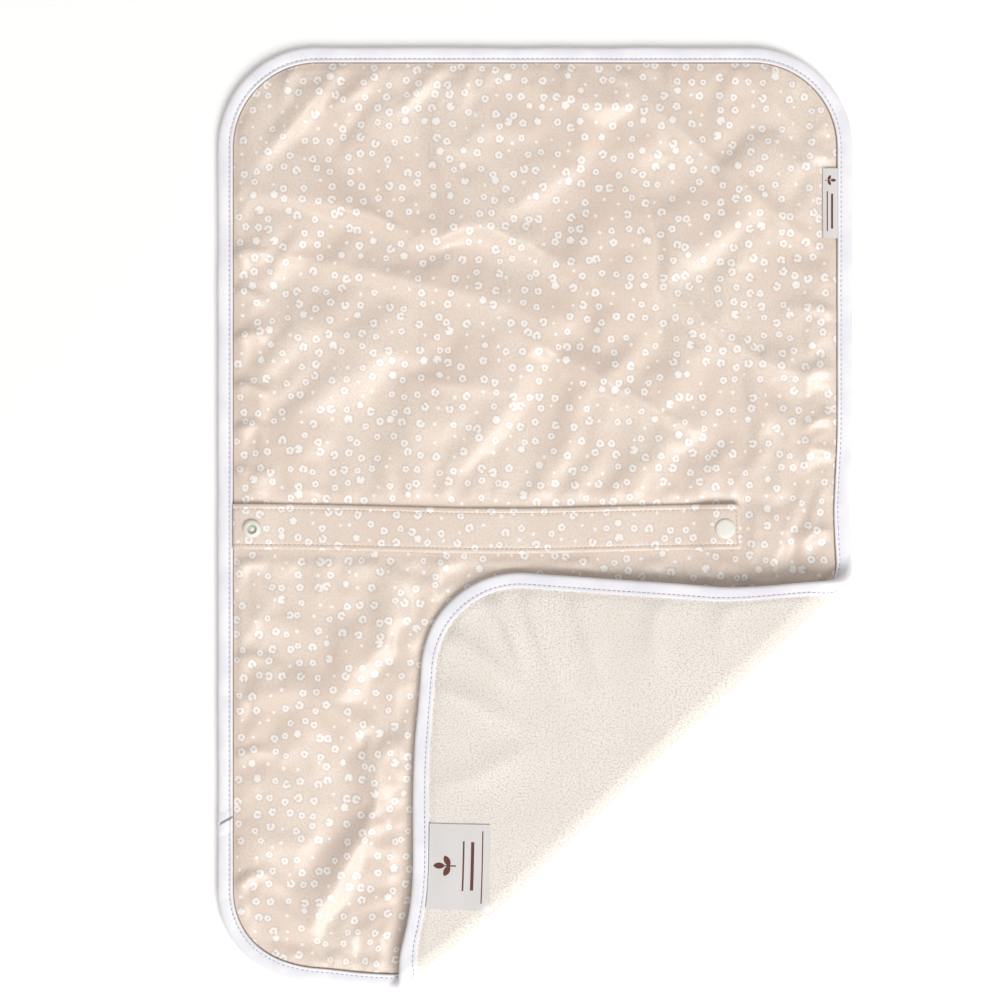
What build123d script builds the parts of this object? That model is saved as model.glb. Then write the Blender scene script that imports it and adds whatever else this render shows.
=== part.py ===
from build123d import *
from math import asin, cos, degrees, pi, radians, sin, tan
import os

# A padded travel changing mat, lying with its printed waterproof side up and one corner turned over,
# so that the pile lining shows there. A strap with two press studs lies across it.
# Frame: +X across the mat, +Y along it, +Z up. Origin under the mat's centre, on what it lies on.
# The turned corner is drawn flat, in the mat's own coordinates, and rolled over about a slender cone.

os.makedirs("parts", exist_ok=True)

# The mat
mat_w = 400.0
mat_l = 594.0
corner_r = 63.0
lining_t = 1.4
wadding_t = 3.0
cover_t = 0.6

# The edge tape, a folded binding sewn round all the layers
tape_w = 9.5
tape_t = 0.6
join_y = -190.0
join_l = 16.0
join_slant = 6.0

# The turned corner
fold_angle = 42.9
flap_gap = 3.8
roll_r_foot = 5.0
roll_r_top = 9.0
rest_gap = 0.8
roll_steps = 12

# The packing fold, a third of the way down from the top edge
upper_y = 99.0
fold_open = 20.0
fold_gap = 0.5

# The strap
strap_l = 320.8
strap_w = 28.7
strap_y = -6.5
strap_face_t = 0.5
strap_core_t = 0.6
strap_end_l = 105.6
strap_corner_r = 2.0
root_rise = 0.2
root_ramp_l = 26.8
tip_ramp_l = 33.5

# The press studs
cap_d = 12.6
cap_t = 1.5
post_d = 2.2
socket_d = 10.8
socket_t = 2.6
socket_bore_d = 5.8
stud_t = 3.4
stud_flange_t = 1.1
stud_nose_d = 5.6
stud_wall = 1.1
web_t = 0.7
rivet_d = 2.9
rivet_t = 0.5
root_snap_inset = 12.3
tip_snap_inset = 11.3
snap_seat_margin = 0.4
under_cap_chamfer = 0.5
cap_edge_r = 0.7
socket_edge_r = 0.6

# The labels
tag_w = 9.4
tag_l = 44.0
tag_t = 0.6
tag_fold_flat = 0.04
tag_from_top = 76.5
care_w = 53.0
care_l = 38.0
care_t = 0.5
care_x = 7.0

# Clearances
lie_gap = 0.3
seam_gap = 0.1

# Heights of the layers
half_w = mat_w / 2
half_l = mat_l / 2
z_wadding = lining_t
z_cover = lining_t + wadding_t
z_top = z_cover + cover_t
thick = z_top + tape_t
z_mid = thick / 2

# Where the corner folds: its edge stops short of the strap
outward = Vector(sin(radians(fold_angle)), -cos(radians(fold_angle)))
along = Vector(cos(radians(fold_angle)), sin(radians(fold_angle)))
round_centre = Vector(half_w - corner_r, corner_r - half_l)
flap_top_y = strap_y - strap_w / 2 - flap_gap
fold_depth = (flap_top_y - corner_r - round_centre.Y) / (2 * cos(radians(fold_angle)))
on_fold = round_centre - outward * fold_depth
foot = Vector(on_fold.X - (half_l + on_fold.Y) / tan(radians(fold_angle)), -half_l)
top = Vector(half_w, on_fold.Y + (half_w - on_fold.X) * tan(radians(fold_angle)))

# The cone that the sheet rolls on: every distance is measured from its apex, in the sheet's middle plane
cone_sin = (roll_r_top - roll_r_foot) / (top - foot).length
apex = foot - along * (roll_r_foot / cone_sin) + Vector(0, 0, z_mid)
tip_along = (round_centre - apex).dot(along)
tip_across = fold_depth + corner_r - pi / 2 * cone_sin * tip_along
tip_drop = 2 * cone_sin * tip_along - z_top - rest_gap
roll_turn = 180 + degrees(asin(tip_drop / tip_across))
swing_total = degrees(radians(roll_turn) * cone_sin)
first_ray = fold_angle + swing_total / 2
cone_axis = Axis((0, 0, 0), Vector(1, 0, cone_sin).rotate(Axis.Z, first_ray))

# The packing fold's band
fold_half = (thick / 2 * (1 + cos(radians(fold_open))) + fold_gap) / sin(radians(fold_open))
band_low = upper_y - fold_half
band_high = upper_y + fold_half


def turned(vector, roll, swing):
    """A flat vector after the sheet has swung about the apex and rolled about the cone's axis."""
    return vector.rotate(Axis.Z, swing).rotate(cone_axis, -roll)


def sheet_plane(roll, swing):
    """The plane on which flat coordinates are drawn to come out rolled over."""
    origin = apex + turned(Vector(0, 0, 0) - apex, roll, swing)
    across = turned(Vector(1, 0, 0), roll, swing)
    return Plane(origin=origin, x_dir=across, z_dir=turned(Vector(0, 0, 1), roll, swing))


def ray_plane(step):
    """The standing plane through the apex at one step round the roll: x runs out along the sheet."""
    roll = roll_turn * step / roll_steps
    swing = swing_total * step / roll_steps
    out = turned(Vector(1, 0, 0).rotate(Axis.Z, first_ray - swing), roll, swing)
    up = turned(Vector(0, 0, 1), roll, swing)
    return Plane(origin=apex - up * z_mid, x_dir=out, z_dir=out.cross(up))


def foot_reach(step, inset):
    """Distance from the apex to the bottom edge along a ray, at an inset from that edge."""
    ray = radians(first_ray - swing_total * step / roll_steps)
    return (inset - half_l - apex.Y) / sin(ray)


def top_reach(step, inset):
    """Distance from the apex to the right edge along a ray, at an inset from that edge."""
    ray = radians(first_ray - swing_total * step / roll_steps)
    return (half_w - inset - apex.X) / cos(ray)


def outline(inset):
    """The mat's rounded outline, drawn in flat coordinates."""
    RectangleRounded(mat_w - 2 * inset, mat_l - 2 * inset, corner_r - inset)


def ray_point(angle, distance):
    """A point on a ray from the apex, in flat coordinates."""
    return (apex.X + distance * cos(radians(angle)), apex.Y + distance * sin(radians(angle)))


far = 2 * (mat_w + mat_l)
last_ray = first_ray - swing_total
corner_shift = Vector(0, -seam_gap).rotate(Axis.Z, last_ray)
zones = {
    "middle": [ray_point(first_ray, -far), ray_point(first_ray, far), (-far, far), (-far, -far)],
    "corner": [ray_point(last_ray, -far), (far, -far), ray_point(last_ray, far)],
}
bands = {
    "middle": (-far, band_low),
    "fold_band": (band_low, band_high - seam_gap),
    "upper": (band_high, far),
}


def keep_zone(zone):
    """Keeps only one zone of the sketch in hand, as the sheet is divided where it folds."""
    if zone == "corner":
        moved = [(x + corner_shift.X, y + corner_shift.Y) for x, y in zones["corner"]]
        Polygon(*moved, align=None, mode=Mode.INTERSECT)
        return
    low, high = bands[zone]
    Polygon((-far, low), (far, low), (far, high), (-far, high), align=None, mode=Mode.INTERSECT)
    if zone == "middle":
        Polygon(*zones["middle"], align=None, mode=Mode.INTERSECT)


def save(piece, name):
    """Labels a finished piece and writes it."""
    piece.part.label = name
    export_step(piece.part, f"parts/{name}.step")


# Panels: lining, wadding and cover, in each zone of the sheet
flap_plane = sheet_plane(roll_turn, swing_total)
zone_planes = {"middle": Plane.XY, "fold_band": Plane.XY, "upper": Plane.XY, "corner": flap_plane}

for zone, plane in zone_planes.items():
    with BuildPart() as lining:
        with BuildSketch(plane):
            outline(tape_w)
            keep_zone(zone)
        extrude(amount=lining_t)
        with BuildSketch(plane.offset(tape_t)):
            outline(tape_t)
            keep_zone(zone)
        extrude(amount=lining_t - tape_t)
    save(lining, f"lining_{zone}")

    with BuildPart() as wadding:
        with BuildSketch(plane.offset(z_wadding)):
            outline(tape_t)
            keep_zone(zone)
        extrude(amount=wadding_t)
    save(wadding, f"wadding_{zone}")

    with BuildPart() as cover:
        with BuildSketch(plane.offset(z_cover)):
            outline(tape_t)
            keep_zone(zone)
        extrude(amount=cover_t)
    save(cover, f"cover_{zone}")

# Edge tape: a folded channel over the edge of all the layers
tape_nodes = {
    "middle": "",
    "fold_band": "binding_fold_band",
    "upper": "binding_upper",
    "corner": "binding_corner",
}

for zone, plane in zone_planes.items():
    with BuildPart() as binding:
        with BuildSketch(plane):
            outline(0)
            keep_zone(zone)
        extrude(amount=thick)
        with BuildSketch(plane):
            outline(tape_w)
        extrude(amount=thick, mode=Mode.SUBTRACT)
        with BuildSketch(plane.offset(tape_t)):
            outline(tape_t)
        extrude(amount=thick - 2 * tape_t, mode=Mode.SUBTRACT)
    if tape_nodes[zone]:
        save(binding, tape_nodes[zone])
    else:
        sides = binding.part.solids().sort_by(Axis.X)

with BuildPart() as binding_left:
    add(sides[0])
save(binding_left, "binding_left")

with BuildPart() as binding_right:
    add(sides[-1])
save(binding_right, "binding_right")

# The tape's cut end, lapped over its start
with BuildPart() as binding_join:
    with BuildSketch(Plane.XY.offset(thick)):
        with BuildLine():
            Polyline(
                (-half_w, join_y - join_l / 2),
                (tape_w - half_w, join_y - join_l / 2 + join_slant),
                (tape_w - half_w, join_y + join_l / 2 + join_slant),
                (-half_w, join_y + join_l / 2),
                close=True,
            )
        make_face()
    extrude(amount=tape_t)
save(binding_join, "binding_join")

# The rolled stretch, layer by layer between the bottom edge and the right edge
roll_layers = {
    "lining_roll": (0, lining_t, tape_w),
    "wadding_roll": (z_wadding, z_cover, tape_t),
    "cover_roll": (z_cover, z_top, tape_t),
}

for name, (low, high, inset) in roll_layers.items():
    with BuildPart() as roll:
        for step in range(roll_steps + 1):
            with BuildSketch(ray_plane(step)):
                a = foot_reach(step, inset)
                b = top_reach(step, inset)
                Polygon((a, low), (b, low), (b, high), (a, high), align=None)
        loft(ruled=True)
    save(roll, name)


def tape_section(reach, step):
    """The folded tape's section where a ray crosses it, edge first."""
    edge = reach(step, 0)
    wall = reach(step, tape_t)
    inner = reach(step, tape_w)
    return [
        (edge, 0),
        (inner, 0),
        (inner, tape_t),
        (wall, tape_t),
        (wall, z_top),
        (inner, z_top),
        (inner, thick),
        (edge, thick),
    ]


for name, reach in {"binding_roll_foot": foot_reach, "binding_roll_top": top_reach}.items():
    with BuildPart() as tape_roll:
        for step in range(roll_steps + 1):
            with BuildSketch(ray_plane(step)):
                Polygon(*tape_section(reach, step), align=None)
        loft(ruled=True)
    save(tape_roll, name)

# Strap: face and back cloth with a stiffener between, in a root length and an end length that folds back
strap_t = 2 * strap_face_t + strap_core_t
lie_z = z_top + lie_gap
root_x = tape_w - half_w + lie_gap
tip_x = root_x + strap_l
break_x = tip_x - strap_end_l
root_snap_x = root_x + root_snap_inset
tip_snap_x = tip_x - tip_snap_inset
on_cap_z = lie_z + cap_t
on_stud_z = lie_z + stud_t
snap_seat = cap_d / 2 + snap_seat_margin

strap_lines = {
    "strap": [
        (root_x, lie_z + root_rise),
        (root_snap_x - snap_seat, on_cap_z),
        (root_snap_x + snap_seat, on_cap_z),
        (root_snap_x + snap_seat + root_ramp_l, lie_z),
        (break_x - seam_gap, lie_z),
    ],
    "strap_end": [
        (break_x, lie_z),
        (tip_snap_x - snap_seat - tip_ramp_l, lie_z),
        (tip_snap_x - snap_seat, on_stud_z),
        (tip_x, on_stud_z),
    ],
}
strap_layers = {
    "back": (0, strap_face_t),
    "stiffener": (strap_face_t, strap_face_t + strap_core_t),
    "face": (strap_face_t + strap_core_t, strap_t),
}
snap_x = {"strap": root_snap_x, "strap_end": tip_snap_x}

for length, line in strap_lines.items():
    for layer, (low, high) in strap_layers.items():
        with BuildPart() as band:
            with BuildSketch(Plane.XZ.offset(-strap_y)):
                under = [(x, z + low) for x, z in line]
                over = [(x, z + high) for x, z in reversed(line)]
                Polygon(*under, *over, align=None)
            extrude(amount=strap_w / 2, both=True)
            if length == "strap_end":
                fillet(band.edges().filter_by(Axis.Z).group_by(Axis.X)[-1], strap_corner_r)
            with BuildSketch(Plane.XY):
                with Locations((snap_x[length], strap_y)):
                    Circle(post_d / 2)
            extrude(amount=4 * thick, mode=Mode.SUBTRACT)
        save(band, f"{length}_{layer}")

# Root snap: a cap under the strap, riveted through it to a socket that faces up
socket_z = on_cap_z + strap_t
with BuildPart() as root_snap_cap:
    with BuildSketch(Plane.XY.offset(lie_z)):
        with Locations((root_snap_x, strap_y)):
            Circle(cap_d / 2)
    extrude(amount=cap_t)
    chamfer(root_snap_cap.faces().sort_by(Axis.Z)[0].edges(), under_cap_chamfer)
    with BuildSketch(Plane.XY.offset(on_cap_z)):
        with Locations((root_snap_x, strap_y)):
            Circle(post_d / 2)
    extrude(amount=strap_t + web_t)
    with BuildSketch(Plane.XY.offset(socket_z + web_t)):
        with Locations((root_snap_x, strap_y)):
            Circle(rivet_d / 2)
    extrude(amount=rivet_t)
save(root_snap_cap, "root_snap_cap")

with BuildPart() as root_snap_socket:
    with BuildSketch(Plane.XY.offset(socket_z)):
        with Locations((root_snap_x, strap_y)):
            Circle(socket_d / 2)
    extrude(amount=socket_t)
    fillet(root_snap_socket.faces().sort_by(Axis.Z)[-1].edges(), socket_edge_r)
    with BuildSketch(Plane.XY.offset(socket_z + web_t + rivet_t)):
        with Locations((root_snap_x, strap_y)):
            Circle(socket_bore_d / 2)
    extrude(amount=socket_t, mode=Mode.SUBTRACT)
    with BuildSketch(Plane.XY.offset(socket_z + web_t)):
        with Locations((root_snap_x, strap_y)):
            Circle(rivet_d / 2)
    extrude(amount=rivet_t, mode=Mode.SUBTRACT)
    with BuildSketch(Plane.XY.offset(socket_z)):
        with Locations((root_snap_x, strap_y)):
            Circle(post_d / 2)
    extrude(amount=socket_t, mode=Mode.SUBTRACT)
save(root_snap_socket, "root_snap_socket")

# Tip snap: a cap on top of the strap, riveted through it to a stud that points down
with BuildPart() as tip_snap_cap:
    with BuildSketch(Plane.XY.offset(on_stud_z + strap_t)):
        with Locations((tip_snap_x, strap_y)):
            Circle(cap_d / 2)
    extrude(amount=cap_t)
    fillet(tip_snap_cap.faces().sort_by(Axis.Z)[-1].edges(), cap_edge_r)
    with BuildSketch(Plane.XY.offset(on_stud_z + strap_t)):
        with Locations((tip_snap_x, strap_y)):
            Circle(post_d / 2)
    extrude(amount=-strap_t - web_t)
    with BuildSketch(Plane.XY.offset(on_stud_z - web_t)):
        with Locations((tip_snap_x, strap_y)):
            Circle(rivet_d / 2)
    extrude(amount=-rivet_t)
save(tip_snap_cap, "tip_snap_cap")

with BuildPart() as tip_snap_stud:
    with BuildSketch(Plane.XY.offset(on_stud_z)):
        with Locations((tip_snap_x, strap_y)):
            Circle(socket_d / 2)
    extrude(amount=-stud_flange_t)
    with BuildSketch(Plane.XY.offset(on_stud_z - stud_flange_t)):
        with Locations((tip_snap_x, strap_y)):
            Circle(stud_nose_d / 2)
    extrude(amount=stud_flange_t - stud_t)
    with BuildSketch(Plane.XY.offset(on_stud_z - web_t)):
        with Locations((tip_snap_x, strap_y)):
            Circle(stud_nose_d / 2 - stud_wall)
    extrude(amount=web_t - stud_t, mode=Mode.SUBTRACT)
    with BuildSketch(Plane.XY.offset(on_stud_z)):
        with Locations((tip_snap_x, strap_y)):
            Circle(post_d / 2)
    extrude(amount=-stud_t, mode=Mode.SUBTRACT)
save(tip_snap_stud, "tip_snap_stud")

# Side tag: a folded loop of satin ribbon under the right-hand tape, lying inwards
tag_x = half_w - tape_w - lie_gap
tag_y = half_l - tag_from_top - tag_l / 2
with BuildPart() as side_tag:
    with BuildSketch(Plane.XY.offset(lie_z)):
        with Locations((tag_x - tag_w / 2, tag_y)):
            Rectangle(tag_w, tag_l)
    extrude(amount=tag_t)
    fillet(side_tag.edges().filter_by(Axis.Y).group_by(Axis.X)[0], (tag_t - tag_fold_flat) / 2)
save(side_tag, "side_tag")

# Care label: a satin label under the tape on the lining side of the turned corner
care_y = tape_w - half_l + lie_gap
with BuildPart() as care_label:
    with BuildSketch(flap_plane.offset(-lie_gap)):
        with Locations((care_x, care_y + care_l / 2)):
            Rectangle(care_w, care_l)
    extrude(amount=-care_t)
save(care_label, "care_label")


# Where the joints turn, for whoever drives them
def half_opening():
    """The turn about the apex that lays the first half of the roll flat, as axis direction and angle."""
    s = radians(swing_total) / 4
    r = radians(roll_turn) / 4
    axis = cone_axis.direction
    up = Vector(0, 0, 1)
    part = axis * (cos(s) * sin(r)) - up * (sin(s) * cos(r)) - up.cross(axis) * (sin(s) * sin(r))
    return part.normalized(), 2 * degrees(asin(part.length))


first_hinge, half_turn = half_opening()
second_hinge = first_hinge.rotate(cone_axis, -roll_turn / 2)
care_hinge = apex + turned(Vector(care_x, care_y, -lie_gap - care_t) - apex, roll_turn, swing_total)
care_dir = turned(Vector(-1, 0, 0), roll_turn, swing_total)
print("corner folds about", tuple(apex), "along", tuple(first_hinge), "then", tuple(second_hinge))
print("each half turns", half_turn, "of a roll of", roll_turn, "between rays", first_ray, last_ray)
print("fold runs from", tuple(foot), "to", tuple(top), "upper fold band", band_low, band_high)
print("care label hinge", tuple(care_hinge), "along", tuple(care_dir))
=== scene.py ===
"""The look of a padded travel changing mat: printed cover, pile lining, satin edge tape and a snap strap."""
import math

import bmesh
import bpy
import numpy as np
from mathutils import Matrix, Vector


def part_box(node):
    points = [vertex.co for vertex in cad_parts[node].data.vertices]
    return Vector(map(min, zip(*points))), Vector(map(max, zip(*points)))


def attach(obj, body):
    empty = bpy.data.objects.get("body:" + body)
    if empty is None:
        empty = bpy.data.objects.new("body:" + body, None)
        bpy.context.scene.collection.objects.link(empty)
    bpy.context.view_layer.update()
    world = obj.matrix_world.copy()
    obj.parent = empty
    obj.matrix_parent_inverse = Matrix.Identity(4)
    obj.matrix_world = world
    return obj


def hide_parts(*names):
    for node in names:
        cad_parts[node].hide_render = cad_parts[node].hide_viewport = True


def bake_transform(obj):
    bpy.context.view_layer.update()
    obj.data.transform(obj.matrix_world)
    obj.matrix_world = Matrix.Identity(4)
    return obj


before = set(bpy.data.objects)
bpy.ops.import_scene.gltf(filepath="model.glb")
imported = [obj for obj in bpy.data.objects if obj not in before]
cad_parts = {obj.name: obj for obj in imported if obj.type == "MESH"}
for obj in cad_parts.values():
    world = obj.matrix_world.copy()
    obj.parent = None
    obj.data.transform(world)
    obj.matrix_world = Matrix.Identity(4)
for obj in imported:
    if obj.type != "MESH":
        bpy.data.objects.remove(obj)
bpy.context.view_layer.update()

MM = 0.001

# The mat as cut and sewn, in millimetres. Its middle is the origin, and heights are above the table.
half_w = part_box("binding_right")[1].x / MM
half_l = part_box("binding_upper")[1].y / MM
corner_r = 63.0
tape_w = 9.5
tape_join_y = -190.0      # where its two ends meet, on the left
mid_z = 2.8
cover_z = 5.0
cover_floor = 4.05        # the cover is never lower than this, so that it stays above its wadding
seam_y = -6.5             # where the mat's upper and lower lengths are joined, under the strap
cloth_inset = 2.0         # how far the cloths stop inside the edge of the tape
cloth_step = 2.3
wadding_inset = 5.0
wadding_step = 6.0
wadding_z = (2.2, 3.6)
rolled_step = 0.9
tape_step = 1.5

# The turned corner: the cloth rolls over on a slender cone, tighter at its foot than at its top
fold_angle = 42.9
fold_foot = np.array([-77.54, -half_l])
roll_r_foot = 5.0
roll_r_top = 9.0
roll_turn = 183.183
along = np.array([math.cos(math.radians(fold_angle)), math.sin(math.radians(fold_angle)), 0.0])
outward = np.array([along[1], -along[0], 0.0])
fold_length = (half_w - fold_foot[0]) / along[0]
cone_sin = (roll_r_top - roll_r_foot) / fold_length
apex = np.array([*fold_foot, mid_z]) - along * roll_r_foot / cone_sin
swing = roll_turn * cone_sin
first_ray = fold_angle + swing / 2
cone_axis = np.array([math.cos(math.radians(first_ray)), math.sin(math.radians(first_ray)), cone_sin])
cone_axis = cone_axis / np.linalg.norm(cone_axis)
flap_slip = 13.5          # how far the soft corner slides down its own fold, on the bias
foot_shift = 8.5          # the fold's foot is pushed this far to the left, fading out over foot_reach
foot_reach = 42.0

# The fold line of the upper third
upper_y = 99.0
fold_low = -16.0
fold_high = 17.3

# The strap across the middle, and what lies on the mat
strap_w = 28.7
strap_t = 1.6
strap_x = (-190.2, 130.6)
strap_end_x = strap_x[1] - 0.8
strap_corner_r = 2.6
topstitch_inset = 3.3
strap_z = 5.3
root_snap_x = -177.9
tip_snap_x = 119.3
tag_low, tag_high = (np.array(c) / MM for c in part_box("side_tag"))
tag_l = 44.0
tag_reach = 9.1           # from the tape to where its loop turns back
tag_fold_r = 0.25
tag_mark_h = 0.24         # the printed marks lie this high, just clear of the ribbon's face
care_mark_h = 0.5
care_w = 53.0
care_l = 38.0
care_x = 7.0


# --- Smooth values, and the shape of the flat mat

def eased(t):
    """0 before 0, 1 after 1, and smooth between."""
    t = np.clip(t, 0, 1)
    return t * t * (3 - 2 * t)


def soft_noise(x, y, seed):
    """Smooth random heights between -1 and 1, about one bump to each unit."""
    lattice = np.random.default_rng(seed).uniform(-1, 1, (64, 64))
    ix, iy = np.floor(x).astype(int), np.floor(y).astype(int)
    fx, fy = eased(x - ix), eased(y - iy)
    low = lattice[ix % 64, iy % 64] * (1 - fx) + lattice[(ix + 1) % 64, iy % 64] * fx
    high = lattice[ix % 64, (iy + 1) % 64] * (1 - fx) + lattice[(ix + 1) % 64, (iy + 1) % 64] * fx
    return low * (1 - fy) + high * fy


def grid_faces(shape):
    """A grid's point numbers, and the square faces between them."""
    index = np.arange(shape[0] * shape[1]).reshape(shape)
    faces = np.stack([index[:-1, :-1], index[1:, :-1], index[1:, 1:], index[:-1, 1:]], -1)
    return index, faces.reshape(-1, 4)


def linked(name, data):
    """A new object in the scene, unturned and unscaled at the origin."""
    made = bpy.data.objects.new(name, data)
    bpy.context.scene.collection.objects.link(made)
    return made


def inset_of(x, y):
    """How far a point lies inside the mat's edge."""
    qx, qy = np.abs(x) - (half_w - corner_r), np.abs(y) - (half_l - corner_r)
    outside = np.hypot(np.maximum(qx, 0), np.maximum(qy, 0)) + np.minimum(np.maximum(qx, qy), 0)
    return corner_r - outside


def beyond_fold(x, y):
    """How far a point lies past the fold line, towards the turned corner."""
    return (x - fold_foot[0]) * outward[0] + (y - fold_foot[1]) * outward[1]


def under_flap(x, y):
    """1 where the turned corner presses on the mat, less far from its fold, and 0 a little way outside it."""
    past = beyond_fold(x, y)
    mirror_x = x - 2 * past * outward[0] + flap_slip * along[0]
    mirror_y = y - 2 * past * outward[1] + flap_slip * along[1]
    covered = np.where(past < 24, eased(1 + inset_of(mirror_x, mirror_y) / 9), 1.0)
    return covered * eased(past / 400 + 1)


def under_strap(x, y):
    """1 where the strap lies on the mat, 0 a little way outside it."""
    across = eased((strap_w / 2 + 9 - np.abs(y - seam_y)) / 8)
    return across * eased((strap_x[1] + 9 - x) / 8)


def slip_along_fold(x, y):
    """How far a point past the fold slips down along it: early at its top, in two stages at its foot."""
    past = beyond_fold(x, y)
    up_fold = ((x - fold_foot[0]) * along[0] + (y - fold_foot[1]) * along[1]) / fold_length
    at_foot = flap_slip * (0.33 * eased(past / 22) + 0.67 * eased((past - 35) / 75))
    at_top = flap_slip * eased(past / 55)
    return at_foot + (at_top - at_foot) * eased(up_fold)


def turned_about(points, axis, angles):
    """Points turned about a line through the origin, each by its own angle in radians."""
    c, s = np.cos(angles)[:, None], np.sin(angles)[:, None]
    return points * c + np.cross(axis, points) * s + axis * (points @ axis)[:, None] * (1 - c)


def roll_share(flat):
    """0 on the mat, 1 on the turned corner, and rising round the roll between them."""
    ray = np.degrees(np.arctan2(flat[:, 1] - apex[1], flat[:, 0] - apex[0]))
    return np.clip((first_ray - ray) / swing, 0, 1)


def trued(flat, slip_at=None):
    """The flat mat as it was really sewn: its edges wander, and its turned corner has slipped along the fold.

    A stiff piece on the corner slips as one, by what the cloth has slipped at the point slip_at.
    """
    x, y = flat[:, 0], flat[:, 1]
    out = flat.copy()
    past = beyond_fold(x, y)
    slip = slip_along_fold(x, y) if slip_at is None else np.full(len(flat), slip_along_fold(*slip_at))
    out[:, :2] -= slip[:, None] * along[:2]
    near_bottom_left = np.exp(-((x + 150) / 42) ** 2) * eased(-(y + 230) / 67)
    out[:, 1] += 5.0 * near_bottom_left
    near_right = eased((x - 120) / 80) * eased((60 - y) / 60) * eased(-past / 40)
    out[:, 0] -= 2.2 * near_right
    return out


def placed(flat, slip_at=None):
    """Points of the flat mat, x, y and height, where they lie once the corner is rolled over."""
    share = roll_share(flat)
    swung = turned_about(trued(flat, slip_at) - apex, np.array([0, 0, 1.0]), np.radians(share * swing))
    points = apex + turned_about(swung, cone_axis, -np.radians(share * roll_turn))
    from_foot = np.hypot(points[:, 0] - fold_foot[0], points[:, 1] - fold_foot[1])
    points[:, 0] -= foot_shift * np.exp(-(from_foot / foot_reach) ** 2)
    return points


# --- The cover's and lining's relief

# Each fold in the cover: the points it runs through, its height, its width and its lean.
# A positive lean makes its left side the steeper
cover_folds = [
    # from the top left corner inward
    ([(-123, 282), (-150, 250), (-176, 222)], 3.3, 7.0, 0.3),
    ([(-98, 281), (-112, 268), (-130, 258)], 1.8, 4.5, 0.3),
    ([(-60, 283), (-72, 270), (-86, 256)], 1.8, 5.0, 0.2),
    ([(-104, 262), (-118, 244), (-130, 226)], -1.6, 5.5, 0.0),
    ([(-22, 284), (0, 270), (30, 262), (66, 258)], 1.1, 9.0, 0.0),
    # the long wave across the upper third
    ([(-192, 205), (-148, 200), (-104, 190), (-66, 176), (-34, 183), (16, 161), (42, 144)], 3.6, 9.5, -0.5),
    ([(-190, 172), (-148, 164), (-100, 153), (-34, 138), (16, 119)], 2.2, 9.5, -0.4),
    ([(-98, 197), (-84, 186), (-60, 168)], -1.5, 5.0, 0.0),
    ([(-148, 125), (-112, 112), (-79, 100)], 1.3, 8.0, -0.3),
    ([(-79, 88), (-40, 82), (-3, 78)], 1.1, 7.0, -0.2),
    ([(-10, 116), (40, 88), (72, 70), (98, 56)], 2.3, 8.5, -0.4),
    ([(40, 88), (54, 96), (66, 108)], 0.9, 6.0, 0.0),
    # down the right-hand side
    ([(66, 264), (104, 232), (140, 200), (176, 172)], 2.3, 9.0, -0.35),
    ([(130, 280), (156, 254), (180, 226)], 1.4, 8.0, -0.2),
    ([(82, 144), (129, 106), (160, 92), (190, 84)], 2.2, 8.0, -0.4),
    ([(25, 210), (44, 223), (63, 213), (76, 169), (79, 90)], -0.6, 4.5, 0.0),
    ([(186, 56), (174, 50), (166, 46)], 1.3, 4.0, 0.0),
    ([(183, 20), (176, 0), (170, -22)], 1.2, 4.5, 0.0),
    ([(170, 16), (160, -6), (152, -22)], 0.9, 5.0, 0.0),
    # below the strap, beside the turned corner
    ([(-190, -115), (-148, -108), (-117, -127)], 1.5, 10.0, -0.2),
    ([(-98, -152), (-104, -190), (-136, -247)], 2.6, 8.5, 0.0),
    ([(-118, -150), (-124, -190), (-150, -232)], -1.0, 8.0, 0.0),
    ([(-190, -203), (-178, -212), (-170, -222)], 1.3, 4.5, 0.0),
    ([(-190, -60), (-160, -66), (-134, -78)], 0.9, 9.0, 0.0),
    ([(-174, -268), (-130, -272), (-92, -276)], -1.3, 5.5, 0.0),
]
# Short puckers that the edge tape's sewing draws into the cover: a point, a direction and a height each
pucker_l = 22.0
edge_puckers = [
    (-190, 166, 0.0, 1.5), (-190, 144, -0.3, 1.1), (-190, 113, 0.1, 1.2), (-190, 84, -0.2, 1.3),
    (-190, 56, 0.1, 1.2), (-190, 30, -0.1, 0.9), (-190, -30, 0.2, 0.8), (-190, -88, 0.0, 0.8),
    (-190, -150, 0.2, 0.9), (-190, -232, 0.5, 1.2), (190, 128, 3.0, 0.9), (190, 92, 3.2, 0.9),
    (190, 62, 3.3, 1.3), (190, 40, 3.0, 1.2), (190, -8, 3.4, 1.0), (-150, 287, -1.9, 1.2),
    (-40, 287, -1.7, 0.9), (20, 287, -1.5, 0.8), (84, 287, -1.4, 0.9), (146, 287, -1.3, 0.8),
]
# Soft folds in the lining of the turned corner, in the flat mat's frame.
# Those near its rounded corner fan out from the tape
lining_folds = [
    ([(187, -262), (168, -246), (140, -232)], 2.6, 4.5, 0.35),
    ([(177, -276), (160, -256), (138, -238)], -1.0, 4.5, 0.0),
    ([(160, -284), (146, -262), (128, -240)], 2.6, 5.0, 0.3),
    ([(188, -236), (164, -226), (128, -208)], 2.2, 6.0, 0.3),
    ([(189, -206), (166, -196), (136, -184)], 1.9, 6.0, 0.2),
    ([(189, -150), (168, -154), (146, -150)], 1.4, 7.0, 0.0),
    ([(124, -286), (116, -262), (100, -234)], 2.0, 6.5, 0.2),
    ([(60, -286), (70, -256), (92, -222)], 1.1, 9.0, 0.0),
    ([(190, -106), (174, -114), (156, -112)], 1.2, 6.0, 0.0),
]

grid_step = 2.0
grid_x = np.arange(-half_w - 4, half_w + 4.1, grid_step)
grid_y = np.arange(-half_l - 3, half_l + 3.1, grid_step)


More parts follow.
